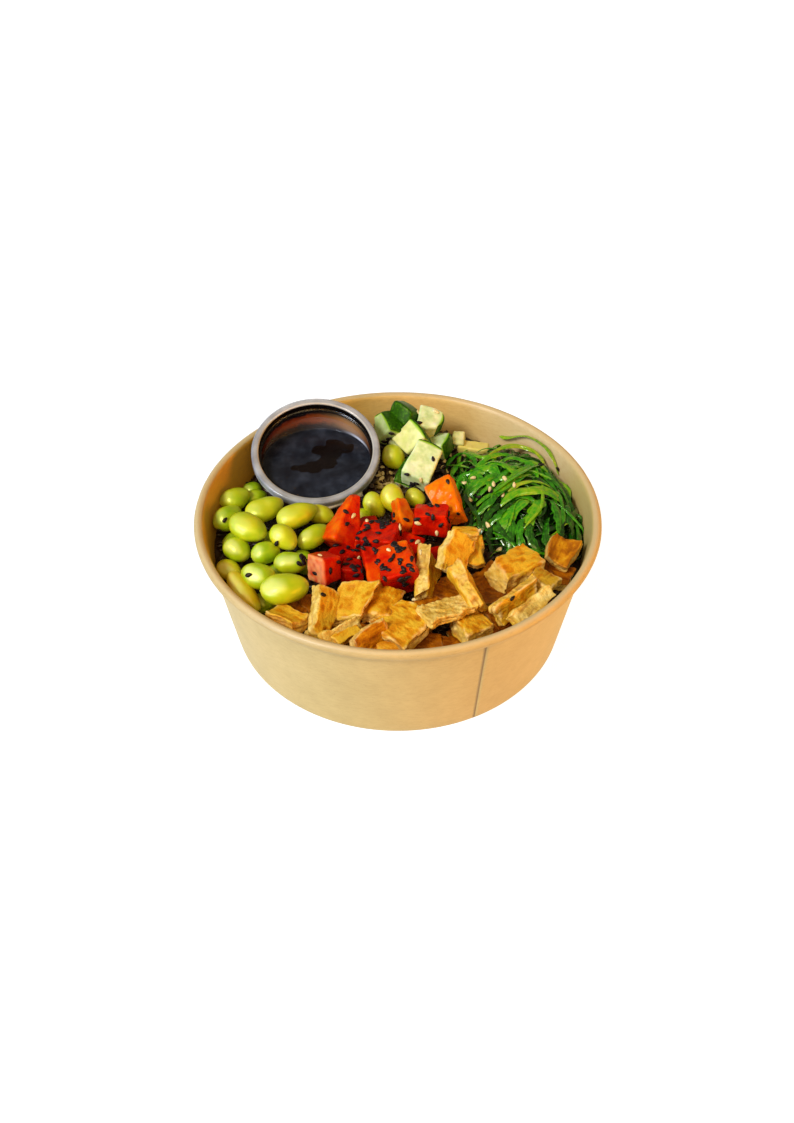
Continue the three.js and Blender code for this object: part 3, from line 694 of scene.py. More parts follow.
# The sauce fills the leaning cup. In the cup's frame its level surface is a slanted plane, and where that is
# above the lid's panel the sauce is flat against the panel. Where the wall stands clear above the level, a
# thin film of sauce runs up it to the panel.
def makeSauce():
    angles = fullTurn(cup["columns"])
    cos, sin = np.cos(angles), np.sin(angles)
    panel = -lid["panelDepth"] - lid["wall"] - 0.1
    foot = -cup["height"] + cup["wall"] - sauce["intoWall"]
    up = cupAxes()[:, 2]      # how much each of the cup's axes climbs
    topRings, filmRings, sideRings = sauce["rings"]

    def surfaceAt(x, y):
        level = (sauce["level"] - cup["at"][2] - up[0] * x - up[1] * y) / up[2]
        return np.minimum(level, panel)

    def wallAt(z):
        return np.minimum(cupOutside(z) - cup["wall"], lid["channelInner"] - 0.5) + sauce["intoWall"]

    edge = wallAt(panel) * np.ones_like(angles)
    for _ in range(6):        # where the slanted level meets the wall
        edge = wallAt(surfaceAt(edge * cos, edge * sin)) - sauce["film"]
    rim = surfaceAt(edge * cos, edge * sin)
    part = np.linspace(0, 1, topRings)[:, None]
    rise, width = sauce["meniscus"]
    x, y = part * edge * cos, part * edge * sin
    climbing = rise * np.exp((part - 1) * edge / width) * (rim < panel - 0.8)
    top = np.stack([x, y, surfaceAt(x, y) + climbing], -1)
    z = top[-1, :, 2] + (panel + 0.05 - top[-1, :, 2]) * np.linspace(0, 1, filmRings)[1:, None]
    climb = polar(wallAt(z) - sauce["film"], angles, z)
    z = panel + 0.07 + (foot - panel - 0.07) * np.linspace(0, 1, sideRings)[:, None]
    side = polar(wallAt(z), angles, z)
    floor = side[-1:] * np.array([0.5, 0.5, 1])
    points = np.concatenate([top, climb, side, floor, floor * np.array([0, 0, 1])])

    # how far up the film a corner is, and from that and its bearing where it is thin, where it has painted
    # shade away from its lit side and where a painted glint lies
    standing = np.clip((points[..., 2] - rim) / np.maximum(panel - rim, 0.5), 0, 1) * (rim < panel - 0.4)
    standing[:topRings] = 0
    bearing = np.degrees(angles)
    thin = hump(bearing, *sauce["clearSide"]) * ease(standing, 0.1, 0.3) * ease(-standing, -0.95, -0.8)
    # painted shade: the film darkens away from its lit side
    middle, spread = sauce["litSide"]
    thick = 1 - np.exp(-((bearing - middle) / spread) ** 4)
    # a painted glint near the foot of the film
    glint = hump(standing, 0.1, 0.09) * hump(bearing, *sauce["glintSide"])
    points = inCupPlace(points)
    blotch = 0
    for x, y, radius in sauce["blotch"]:
        away = np.hypot(points[..., 0] - x, points[..., 1] - y) / radius + 0.22 * noise(points, 3.2, 71)
        blotch = np.maximum(blotch, 0.85 * ease(-away, -1.1, -0.7))
    material = sauceLiquid()
    addPiece("sauce_fill", points, material, ["sauce"],
             {"film": standing, "blotch": blotch, "thin": 0.8 * thin, "glint": glint, "thick": 0.85 * thick})

    # sauce caught in the corner between the lid's panel and its channel
    near, far = lid["channelInner"] + 0.12, lid["channelInner"] + 0.35
    low, high = -lid["panelDepth"] - 0.5, lid["channelTop"] - 1.1
    profile = [(near, low), (near, high), (far, high), (far, low), (near, low - 0.05)]
    points = turned(evenly(profile, 0.4), angles)
    addRing("sauce_line", inCupPlace(points), material, ["sauce"], {"film": 1.0})


# The shelled beans: rows have their own nodes, and more fills the gaps between and under them.
beans = {
    "rows": [
        # place, then heading, rise and roll, then length, width and thickness, then how yellow
        ((-78, 18, 52), (28, 4, 0), (15.5, 11.5, 10), 0.5),
        ((-79.5, 3, 53), (50, 8, 0), (15, 11.5, 9.5), 0.4),
        ((-62, 5, 57), (32, 0, 10), (18.5, 12.5, 9.5), 0.75),
        ((-67.5, -12, 60), (-37, -6, 0), (20, 13.5, 10.5), 0.7),
        ((-46, -2, 59), (33, 0, 0), (20.5, 13, 10), 0.8),
        ((-36, 4.5, 54), (-14, -5, 0), (13.5, 9.5, 8), 0.9),
        ((-51, -19, 61), (-47, -17, 0), (15, 10.5, 9), 0.8),
        ((-38, -13, 56), (43, 3, 0), (17, 9.8, 9), 0.55),
        ((-72, -21, 55), (-42, -4, 0), (13.5, 11, 10), 0.45),
        ((-59, -25.5, 57), (25, 0, 0), (13, 11, 9.5), 0.35),
        ((-47, -33, 58), (0, 0, 0), (14.5, 11, 9.5), 0.5),
        ((-60, -41.5, 58), (-21, 4, 0), (16, 12.5, 10.5), 0.5),
        ((-48, -52, 61), (10, 0, 0), (21, 14, 12), 0.65),
        ((-75, -30, 51), (-45, 8, 0), (15, 9, 8), 1.0),
        ((-66.5, -47, 54), (-53, -14, 0), (22.5, 10, 9), 1.15),
        ((-11, 11.5, 54), (-55, -33, 0), (13, 9.5, 9), 0.8),
        ((-2, 11, 58), (-62, -32, 0), (15, 11, 10), 0.95),
        ((-2, 48, 54), (-52, -24, 0), (13.5, 11, 10), 0.9),
    ],
    "more": [
        ((-71, 32, 46), (32, 0, 0), (10.3, 9, 8), 0.3),
        ((8.5, 19, 52), (-48, 5, 0), (11, 8.5, 8), 0.9),
        ((-69, 24, 48), (20, 0, 0), (12, 9, 8), 0.3),
        ((-55, -8, 50), (20, 0, 0), (15, 10, 9), 0.3),
        ((-66, 12, 49), (70, 0, 0), (14, 10, 9), 0.3),
        ((-42, -24, 50), (-60, 0, 0), (15, 10, 9), 0.25),
        ((-53, -30, 49), (60, 0, 0), (14, 10, 9), 0.3),
        ((-34, -24, 49), (10, 0, 0), (13, 10, 9), 0.2),
        ((-68, -34, 48), (0, 0, 0), (14, 10, 9), 0.3),
        ((-58, -46, 47), (40, 0, 0), (14, 10, 9), 0.4),
        ((-28, 2, 49), (70, 0, 0), (13, 9, 8), 0.4),
        ((-17, 8, 49), (20, 0, 0), (12, 9, 8), 0.6),
        ((-76, -8, 48), (80, 0, 0), (13, 9, 8), 0.4),
    ],
    "rings": 40, "corners": 36, "swell": (2.4, 0.52, 0.08), "nib": 0.16, "waist": 0.06,
    "scar": 0.3, "cleft": 0.25, "dents": 0.65, "dentSize": 6.5,
    "beanHighlight": (-0.34, -0.42, 0.84),   # on this side the skin gets a painted highlight, where the light falls
    "tones": {
        "skin": ((0.2, "#629806"), (0.5, "#9fbc0a"), (0.78, "#c9ca1a"), (1.0, "#d2a60a")),
        # the first mark is a painted highlight; tips and scar are the bean's own colours
        "marks": {"beanHighlight": "#f1f49c", "tips": "#d8d748", "scar": "#8a7320"},
    },
}


# Green to yellow skin, with a painted highlight on the side towards the light, paler at the tips, with a
# brown scar where the bean hung.
def edamameSkin():
    material, tree, shader = newMaterial("edamame")
    patch = clouds(tree, 7, 3, 0.5)
    share = plus(tree, sums(tree, "MULTIPLY", field(tree, "yellow"), 0.55), 0.6, patch, True)
    colour = tinted(tree, ramp(tree, share, *beans["tones"]["skin"]), beans["tones"]["marks"])
    wrinkle = clouds(tree, 1.8, 3, 0.55)
    setAll(tree, shader, colour=colour, rough=0.34, under=0.3, underScale=1.6 * mm,
           underRadius=(0.65, 1.0, 0.1), gloss=0.85, glossTone="#fff888", ior=1.62,
           normal=bumpy(tree, wrinkle, 0.07, 0.5))
    return material


# Oval rings, blunter at one end and drawn in towards the other, some to a nib. The bean bends sideways by
# waist x length x (t^2 - 0.3) and is pressed a little flat here and there; a scar stands up in its cleft.
def bean(size, seed):
    t = -np.cos(np.linspace(0, np.pi, beans["rings"]))[:, None]
    turn = fullTurn(beans["corners"])
    points = ovalRings(size, beans["rings"], beans["corners"], *beans["swell"])
    pointed = beans["nib"] * (0.5 + 0.5 * uneven(seed, 5))
    points[..., 1:] *= ((1 - pointed * ease(t, 0.2, 1.0)) * (1 - 0.1 * ease(-t, 0.3, 1.0)))[..., None]
    points[..., 1] += beans["waist"] * size[0] / 2 * (t * t - 0.3) * (1 + uneven(seed, 6))
    normal = outward(points)
    points = points + normal * (beans["dents"] * noise(points, beans["dentSize"], seed))[..., None]
    cleft = hump(np.cos(turn), 1, 0.02) * (1 - t ** 4)
    scar = hump(t, -0.1, 0.2) * hump(np.cos(turn), 1, 0.06)
    points = points + normal * (beans["scar"] * scar - beans["cleft"] * cleft)[..., None]
    return points, {"tips": 0.55 * ease(np.abs(t), 0.75, 1.0), "scar": 0.7 * scar}


def makeBeans():
    material = edamameSkin()
    for i, (at, turn, size, yellow) in enumerate(beans["rows"] + beans["more"]):
        points, fields = bean(size, i)
        nodes = [f"edamame_{i + 1:02d}"] if i < len(beans["rows"]) else []
        points = points @ turning(*turn).T
        # a painted highlight on the side of each bean that faces the light
        facing = outward(points) @ np.array(beans["beanHighlight"]) + 0.06 * noise(points, 4, i + 90)
        fields["yellow"] = yellow
        fields["beanHighlight"] = (0.34 + 0.14 * uneven(i, 3)) * ease(facing, 0.78, 1.0)
        points = keptClear(points + np.array(at))
        addPiece(f"edamame_bean_{i + 1:02d}", points, material, nodes, fields, True)


# One row for a cut block: the place of its middle, its heading, rise and roll, its length, width and
# thickness, and whatever else is its own.
def cut(at, turn, size, **more):
    return {"at": at, "turn": turn, "size": size, **more}


# A block or slab with rounded edges, ring by ring along its length. Each ring is the outline of the core,
# shrunk at the end faces, moved out by the rounding. Then the block goes a little out of square, skews,
# shears, tapers in width, thins towards one end, cups across its width and bows along its length, each by
# the row's own value. Returns the points and their shares a, b, c of the three sizes.
def cutBlock(row, seed, rounding, step):
    length, width, thickness = np.array(row["size"]) / 2
    r = rounding
    angle = np.radians(np.linspace(0, 90, 6)) + np.arange(4)[:, None] * np.pi / 2
    sides = np.array([(1, 1), (-1, 1), (-1, -1), (1, -1)]) * (width - r, thickness - r)
    core = np.repeat(sides, 6, axis=0)
    out = np.stack([np.cos(angle), np.sin(angle)], -1).reshape(-1, 2)
    core, out = (np.concatenate([ring, ring[:1]]) for ring in (core, out))
    run = np.concatenate([[0], np.cumsum(np.linalg.norm(np.diff(core + r * out, axis=0), axis=1))])
    at = np.linspace(0, run[-1], int(run[-1] / step), endpoint=False)
    core, out = (np.stack([np.interp(at, run, ring[:, i]) for i in (0, 1)], -1) for ring in (core, out))
    out /= np.linalg.norm(out, axis=-1, keepdims=True)

    grow = np.linspace(0, 1, max(4, int(min(width, thickness) / step)))
    bend = np.radians(np.linspace(0, 90, 5))[1:]
    side = np.linspace(-(length - r), length - r, max(6, int(2 * (length - r) / step)))[1:-1]
    x = np.concatenate([-length + 0 * grow, -length + r - r * np.cos(bend), side,
                        length - r + r * np.cos(bend[::-1]), length + 0 * grow])
    scale = np.concatenate([grow, 1 + 0 * bend, 1 + 0 * side, 1 + 0 * bend, grow[::-1]])[:, None, None]
    spread = np.concatenate([0 * grow, np.sin(bend), 1 + 0 * side, np.sin(bend[::-1]), 0 * grow])
    y, z = np.moveaxis(scale * core + spread[:, None, None] * r * out, -1, 0)
    x = np.broadcast_to(x[:, None], y.shape)
    a, b, c = x / length, y / width, z / thickness
    lean = 0.1 * uneven(seed, np.arange(1, 7))
    shear = row.get("shear", (0, 0))
    points = np.stack([
        x * (1 + lean[0] * b + lean[1] * c) + row.get("skew", 0) * b + shear[0] * c,
        y * (1 + lean[2] * a + lean[3] * c + row.get("taper", 0) * a) + shear[1] * c,
        z * (1 + lean[4] * a + lean[5] * b + row.get("thin", 0) * a)
        + row.get("cup", 0) * (b * b - 0.4) + row.get("bow", 0) * (a * a - 0.4),
    ], -1)
    return points, (a, b, c)


# A block's face is named by its axis and side, such as "+b"; the field is 1 on that face and 0 inside.
def nearFace(shares, size, face, depth):
    axis = "abc".index(face[1])
    share = shares[axis] if face[0] == "+" else -shares[axis]
    return ease(share, 1 - 2 * depth / size[axis], 1 - 0.4 * depth / size[axis])


# Cuts every block of a kind. finish gives a block its surface and its fields, and then it is turned into its
# place and added, as its node's piece or as one more between the others.
def makeCuts(name, kind, node, material, finish):
    for i, row in enumerate(kind["rows"] + kind["more"]):
        seed = kind["seed"] + i
        points, shares = cutBlock(row, seed, kind["rounding"], kind["step"])
        points, fields = finish(row, seed, points, shares)
        points = keptClear(points @ turning(*row["turn"]).T + np.array(row["at"]))
        nodes = [f"{node}_{i + 1:02d}"] if i < len(kind["rows"]) else []
        addPiece(f"{name}_{i + 1:02d}", points, material, nodes, fields, True)


cucumber = {
    "rows": [
        # rind lists the faces with skin on, round and arch shape a chunk that has them, and green and ripe
        # tint the whole of it
        cut((-5, 65, 61), (-80, -25, -25), (14, 9, 10), thin=0.4, shear=(0, 0.8), rind=["+c", "-a"],
            green=0.5),
        cut((3, 70, 64.5), (-40, -5, 60), (12, 9, 8), rind=["+c", "+b", "-b", "-c", "+a", "-a"]),
        cut((16, 67, 62), (-105, -20, -12), (14.5, 12, 9.5), rind=["+b"], round=0.3, arch=0.3),
        cut((7, 57, 59), (-48, -19, 44), (14, 13, 9), rind=["+b"], ripe=0.3),
        cut((12, 35, 60), (-118, -28, -15), (21, 13, 10), taper=0.1, rind=["-a"]),
        cut((21.8, 59.5, 52.5), (-113, -5, 23), (12, 9.5, 9), rind=["+b"], green=0.3),
        cut((31, 66, 50.5), (-8, 0, 20), (7, 8, 8.5), rind=[], ripe=0.3),
        cut((39, 62, 48), (-13, 0, 0), (16, 7.5, 7), rind=[], ripe=0.8),
    ],
    "more": [
        cut((2, 58, 52), (20, 0, 0), (13, 10, 9), rind=["+b"]),
        cut((14, 50, 51), (60, 0, 0), (12, 9, 9), rind=["-b", "+c"]),
        cut((-6, 71, 53), (60, 0, 0), (12, 9, 9), rind=["-b"]),
        cut((5.5, 38.5, 50.5), (-118, -20, -15), (15, 9, 9), rind=["-b", "+c", "-a"]),
    ],
    "seed": 20, "rounding": 1.1, "step": 0.4, "rindDepth": 1.5,
    "tones": {
        "flesh": ((0.3, "#b9ca84"), (0.5, "#d2dc9e"), (0.75, "#eae8bc")), "line": "#8fb62c",
        "skin": ((0.3, "#103202"), (0.55, "#245603"), (0.75, "#4e820a")),
        "whole": {"green": "#7da552", "ripe": "#dcc155"},
    },
}


# Pale wet flesh, greener or riper by the piece, with a bright line between it and the streaked dark rind.
def cucumberFlesh():
    material, tree, shader = newMaterial("cucumber")
    tones = cucumber["tones"]
    rind = field(tree, "rind")
    streak = clouds(tree, 1.3, 3, 0.6)
    flesh = tinted(tree, ramp(tree, clouds(tree, 4, 3, 0.5), *tones["flesh"]), tones["whole"])
    colour = blend(tree, ramp(tree, rind, (0.0, 0.0), (0.45, 1.0)), flesh, tones["line"])
    skin = ramp(tree, streak, *tones["skin"])
    colour = blend(tree, ramp(tree, rind, (0.6, 0.0), (0.9, 1.0)), colour, skin)
    setAll(tree, shader, colour=colour, rough=0.38, under=0.3, underScale=2.0 * mm,
           underRadius=(0.8, 1.0, 0.3), gloss=0.3, glossTone="#f4ff8c", normal=bumpy(tree, streak, 0.1, 0.4))
    return material


# A face with rind on it bulges by 0.9 - (1 + 5 round) x share^2 across it; an arched chunk narrows towards
# +b.
def cucumberChunk(row, seed, points, shares):
    rind = 0
    for face in row["rind"]:
        side, axis = (1 if face[0] == "+" else -1), "abc".index(face[1])
        other = shares[1 if axis == 0 else 0] ** 2
        near = nearFace(shares, row["size"], face, cucumber["rindDepth"])
        points[..., axis] += side * near * (0.9 - (1 + row.get("round", 0) * 5) * other)
        rind = np.maximum(rind, near)
    points[..., 0] *= 1 - row.get("arch", 0) * ease(shares[1], -0.2, 1.0)
    rough = 0.3 * noise(points, 4, seed) + 0.1 * noise(points, 1.3, seed + 50)
    points = points + outward(points) * (rough * (1 - 0.6 * rind))[..., None]
    return points, {"rind": rind, "ripe": row.get("ripe", 0), "green": row.get("green", 0)}


redCubes = {
    "rows": [
        # orange is how orange the whole piece is, drift how much more along and across it, tints how much
        # more its named faces are, and salmon lists the faces with pale pink flesh
        cut((-23.5, -7, 60), (-112, -35, -50), (25, 10, 10), taper=0.7, thin=0.5, orange=0.35,
            drift=(0, -0.15), tints={"-b": 0.15}),
        cut((22.5, 7, 60), (-70, -25, 30), (20.5, 12, 12), orange=0.95, salmon=["-b"]),
        cut((15, -8, 61), (-6, 2, -12), (16, 11, 11), orange=0.12, tints={"+c": 0.1}),
        cut((2.5, -2, 59), (-70, -25, -20), (17, 8, 7.5), taper=0.4, orange=0.8),
        cut((-8.5, -17.5, 57), (-12, 6, -2), (19, 15, 12), orange=0.2),
        cut((0.5, -38, 59), (8, 15, 7), (16, 18, 15), taper=-0.06, orange=0.15, drift=(0.15, 0.25),
            tints={"+c": 0.3}),
        cut((-32, -38, 60), (-42, 17, -18), (11.5, 10.5, 12), orange=0.25, salmon=["-b"]),
        cut((-20, -34, 54), (-2, 1, -8), (9, 10, 8), orange=0.0),
        cut((-10.5, -36, 57), (-77, -16, 4), (18, 7.5, 10), orange=0.4, drift=(0.3, 0)),
    ],
    "more": [
        cut((-14, -4, 51), (20, 0, 0), (13, 11, 9), orange=0.0),
        cut((4, -16, 52), (-30, 0, 0), (14, 11, 9), orange=0.1),
        cut((16, -24, 51), (10, 0, 0), (12, 10, 9), orange=0.0),
        cut((-26, -22, 50), (40, 0, 0), (12, 10, 9), orange=0.0),
        cut((4, 3, 50), (10, 0, 0), (12, 10, 9), orange=0.0),
    ],
    "seed": 40, "rounding": 1.2, "step": 0.42, "tintDepth": 1.5, "salmonDepth": 1.2,
    "tones": {
        "flesh": ((0.0, "#a00a01"), (0.25, "#cc1801"), (0.6, "#d84202"), (1.0, "#dc7805")),
        "fibres": "#ea7d38", "faces": {"salmon": "#e8945c"},
    },
}


# Wet red flesh that turns orange by the piece, with pale fibres, and pale pink on its salmon faces.
def redFlesh():
    material, tree, shader = newMaterial("red_cube")
    tones = redCubes["tones"]
    fibre = clouds(tree, 1.4, 3, 0.6, stretch=(1, 1, 2.5))
    patch = sums(tree, "SUBTRACT", clouds(tree, 5, 3, 0.5), 0.5)
    colour = ramp(tree, plus(tree, field(tree, "orange"), 1.1, patch, True), *tones["flesh"])
    colour = blend(tree, ramp(tree, fibre, (0.55, 0.0), (0.85, 0.14)), colour, tones["fibres"])
    colour = tinted(tree, colour, tones["faces"])
    setAll(tree, shader, colour=colour, rough=0.36, under=0.35, underScale=3 * mm,
           underRadius=(1.0, 0.16, 0.03), gloss=0.2, glossTone="#ff8858", coat=0.08, coatRough=0.12,
           normal=bumpy(tree, fibre, 0.15, 0.6))
    return material


# The surface waves a little; orange adds up its parts, and salmon is patchy over its faces.
def redCube(row, seed, points, shares):
    rough = 0.75 * noise(points, 6, seed) + 0.22 * noise(points, 2, seed + 50)
    points = points + outward(points) * rough[..., None]
    drift = row.get("drift", (0, 0))
    orange = row["orange"] + drift[0] * shares[0] + drift[1] * shares[1]
    for face, more in row.get("tints", {}).items():
        orange = orange + more * nearFace(shares, row["size"], face, redCubes["tintDepth"])
    salmon = 0
    for face in row.get("salmon", []):
        salmon = np.maximum(salmon, nearFace(shares, row["size"], face, redCubes["salmonDepth"]))
    salmon = np.clip(salmon * (0.75 + 0.7 * noise(points, 2.4, seed + 7)), 0, 1)
    return points, {"orange": orange, "salmon": salmon}


tofu = {
    "rows": [
        # pale lists further faces that are cut, golden keeps the cut sides from being pale, smooth keeps them
        # from being torn, brown is how dark the skin is, fried and for the further pieces below also painted
        # shade, and the border value how much more painted highlight its borders get
        cut((-46.5, -66, 57), (-34, 2, -20), (15, 11, 5), cup=1.6),
        cut((-31.5, -63, 57.5), (-100, -13, -40), (24, 9.5, 7), bow=-1, taper=-0.22, pale=["-b"]),
        cut((-18.5, -57, 58.5), (-112, -18, 10), (20, 14.5, 3.6), cup=1.4, skew=-2.6),
        cut((-6.7, -56, 57), (-110, -3, 6), (19, 13, 3.6), cup=-0.8, brown=0.4),
        cut((-23, -75, 58), (39, 0, 58), (18.5, 8, 3.2), brown=0.0, golden=0.4, pale=["+c"], smooth=0.5),
        cut((-11.5, -78, 58), (43, 3, 68), (18.5, 10, 3.2), bow=1, brown=0.5),
        cut((2, -69.5, 57), (-43, 6, 6), (20, 20, 5.5), cup=0.8, brown=0.25),
        cut((30.5, -68, 54), (-60, 13, -10), (16, 13, 8), brown=0.15),
        cut((20, -64.5, 60.5), (-62, 14, -5), (12.5, 21.5, 4.2), taper=-0.12, pale=["+c"]),
        cut((29, -53, 62), (-64, -16, -62), (21, 12, 5.5), cup=2, golden=0.45),
        cut((25, -34, 63), (-108, -17, -45), (19, 13.5, 4.2), bow=1),
        cut((30, -18, 61), (5, 0, -15), (10, 7, 5)),
        cut((34, -26, 57.2), (-88, -10, 2), (13.5, 8, 5), brown=0.0),
        cut((12, -41, 58.5), (-97, -12, 110), (24, 12, 6), cup=-2),
        cut((50.3, -35, 55.4), (-141, 5, -18), (19, 13.5, 10), shear=(-2.5, -1.5)),
        cut((73, -22, 54), (-116, -11, -12), (15, 12, 5), cup=2.2, brown=0.75, worn=-0.5),
        cut((63, -41, 55.4), (-121, 15, -14), (12, 11.5, 4.2), brown=0.0, worn=0.5),
        cut((49.5, -57, 58.2), (44, 2, 64), (25, 10, 3.6), cup=0.8, brown=0.0, worn=0.5),
        cut((56, -61, 59.5), (47, 0, 36), (25, 6.6, 4.5), bow=0.8, golden=0.3, brown=0.0, pale=["+c"],
            smooth=0.6),
    ],
    # the further pieces below are browner, as painted shade in the gaps
    "more": [
        cut((-20.8, -76, 57.5), (38, 0, 10), (14, 5, 5), golden=0.5),
        cut((42, -59, 51), (43, 0, 30), (10.5, 11, 5), brown=0.9),
        cut((-34, -52, 50), (-60, 0, 10), (16, 11, 5), brown=1.15),
        cut((-8, -66, 50), (10, 0, -12), (18, 13, 5), brown=1.15),
        cut((14, -54, 51), (60, 0, 10), (18, 13, 5), brown=1.0),
        cut((24, -45, 52), (-20, 0, 10), (17, 12, 5), brown=1.15),
        cut((40, -36, 50), (40, 0, 10), (17, 12, 5), brown=1.15),
        cut((30, -68, 47), (20, 0, 0), (18, 12, 5), brown=1.2),
        cut((56, -48, 49), (-45, 0, 10), (17, 12, 5), brown=1.15),
        cut((10, -74, 48), (0, 0, 10), (17, 12, 5), brown=1.15),
        cut((-44, -56, 49), (70, 0, 0), (14, 10, 5), brown=1.0),
        cut((70, -30, 47), (-20, 0, 0), (14, 12, 5), brown=1.2),
        cut((-22, -66, 50), (-30, 0, 10), (15, 11, 5), brown=1.15),
        cut((3, -60, 49), (35, 0, -15), (17, 12, 5), brown=1.4),
        cut((20, -74, 47), (-12, 0, 6), (16, 11, 5), brown=1.4),
        cut((42, -66, 48), (20, 0, 0), (16, 11, 5), brown=1.4),
        cut((38, -48, 50), (0, 0, -10), (16, 12, 5), brown=1.4),
        cut((60, -30, 48), (15, 0, 0), (16, 12, 5), brown=1.4),
        cut((-2, -79, 53), (3, 0, 25), (15, 7, 4.5), brown=0.4),
    ],
    "seed": 60, "rounding": 0.55, "step": 0.34,
    # the further pieces below get less painted highlight on their borders, as they lie in shade
    "brown": 0.1, "worn": 0, "borderHighlightBelow": -0.4,    # where a row doesn't say; below is for the further pieces
    "tones": {
        "skin": ((0.0, "#d9a826"), (0.14, "#cd860a"), (0.36, "#a95f02"), (0.7, "#723400")),
        "inside": ((0.35, "#c89e3c"), (0.52, "#dcba5e"), (0.7, "#f0d888")),
        # pores and creases are painted shade; the borders' tone is a painted highlight
        "flecks": "#8a4502", "pores": "#9a6626", "creases": "#955a18", "borders": {"worn": "#edd08a"},
    },
}


# Golden skin with brown patches, painted shade in its creases and a painted highlight at its borders; inside
# it is pale, with painted shade in its pores and creases.
def friedTofu():
    material, tree, shader = newMaterial("fried_tofu")
    tones, ridgeLight = tofu["tones"], field(tree, "ridgeLight")
    patch = clouds(tree, 5, 4, 0.6)
    fine = clouds(tree, 0.8, 4, 0.65)
    pores = cells(tree, 0.8)
    share = plus(tree, ramp(tree, patch, (0.3, 0.04), (0.74, 0.44)), 0.45, field(tree, "brown"))
    skin = ramp(tree, plus(tree, share, -0.36, ridgeLight, True), *tones["skin"])
    skin = blend(tree, ramp(tree, fine, (0.55, 0.0), (0.78, 0.35)), skin, tones["flecks"])
    skin = tinted(tree, skin, tones["borders"])
    inside = ramp(tree, patch, *tones["inside"])
    inside = blend(tree, ramp(tree, pores, (0.1, 0.2), (0.35, 0.0)), inside, tones["pores"])
    inside = blend(tree, ramp(tree, ridgeLight, (0.05, 0.6), (0.38, 0.0)), inside, tones["creases"])
    setAll(tree, shader, colour=blend(tree, field(tree, "pale"), skin, inside), rough=0.42, gloss=0.4,
           glossTone="#ffe9a0", normal=bumpy(tree, plus(tree, fine, 0.5, pores), 0.25, 0.8))
    return material


# Fried skin has fibres and creases along its length; a cut side is torn and porous. Returns the raised height
# in mm and the painted light, from 0 (painted shade) in the creases to 1 on the ridges.
def leather(points, cut, seed):
    along = points * np.array([0.4, 1, 1])
    broad = noise(points, 4.5, seed)
    crease = 1 - 2 * np.abs(noise(along, 1.7, seed + 20))
    grain = noise(along, 0.9, seed + 40)
    skin = 0.35 * broad + 0.2 * crease + 0.12 * grain
    torn = 0.45 * noise(points, 2.2, seed + 60) + 0.38 * noise(points, 1.0, seed + 80)
    ridgeLight = np.where(cut > 0.5, 0.5 + 0.8 * torn, 0.5 + 0.35 * crease + 0.3 * grain)
    return skin * (1 - cut) + torn * cut, np.clip(ridgeLight, 0, 1)


# A slab is skin above and below and cut between. Its outline and faces are ragged, its cut sides are split
# along the middle, with painted shade in the split, and its skin gets a painted highlight towards its
# borders.
def tofuSlab(row, seed, points, shares):
    a, b, c = shares
    cutSide = 1 - ease(np.abs(c), 0.5, 0.92)
    pale = cutSide * (0.75 + 0.25 * uneven(seed, 11)) * (1 - row.get("golden", 0))
    for face in row.get("pale", []):
        pale = np.maximum(pale, nearFace(shares, row["size"], face, 1.0))
    flat = points * np.array([1, 1, 0])
    points[..., 0] += 0.9 * noise(flat, 3.4, seed + 3) * np.abs(a) ** 3
    points[..., 1] += 0.9 * noise(flat, 3.4, seed + 4) * np.abs(b) ** 3
    points[..., 2] += 0.7 * uneven(seed, 8) * a * b + 0.5 * noise(flat, 7, seed + 5)
    raised, ridgeLight = leather(points, np.maximum(cutSide, pale) * (1 - row.get("smooth", 0)), seed)
    split = cutSide * hump(c + 0.25 * noise(points, 4, seed + 9), 0.2 * uneven(seed, 12), 0.16)
    split = split * ease(noise(points, 6, seed + 10), -0.5, 0.4)
    points = points + outward(points) * (raised - 0.7 * split)[..., None]
    # a painted highlight along the borders of the skin, less on the further pieces below
    border = np.maximum(np.abs(a), np.abs(b)) + 0.05 * noise(points, 1.6, seed + 13)
    below = seed - tofu["seed"] >= len(tofu["rows"])
    extra = row.get("worn", tofu["borderHighlightBelow" if below else "worn"])
    worn = (0.55 + extra) * ease(border, 0.88 - 0.3 * max(extra, 0), 0.99)
    worn = worn * (1 - cutSide) * ease(noise(points, 3, seed + 14), -0.3, 0.4)
    return points, {"pale": pale, "brown": row.get("brown", tofu["brown"]), "worn": worn,
                    "ridgeLight": ridgeLight * (1 - 0.9 * split)}


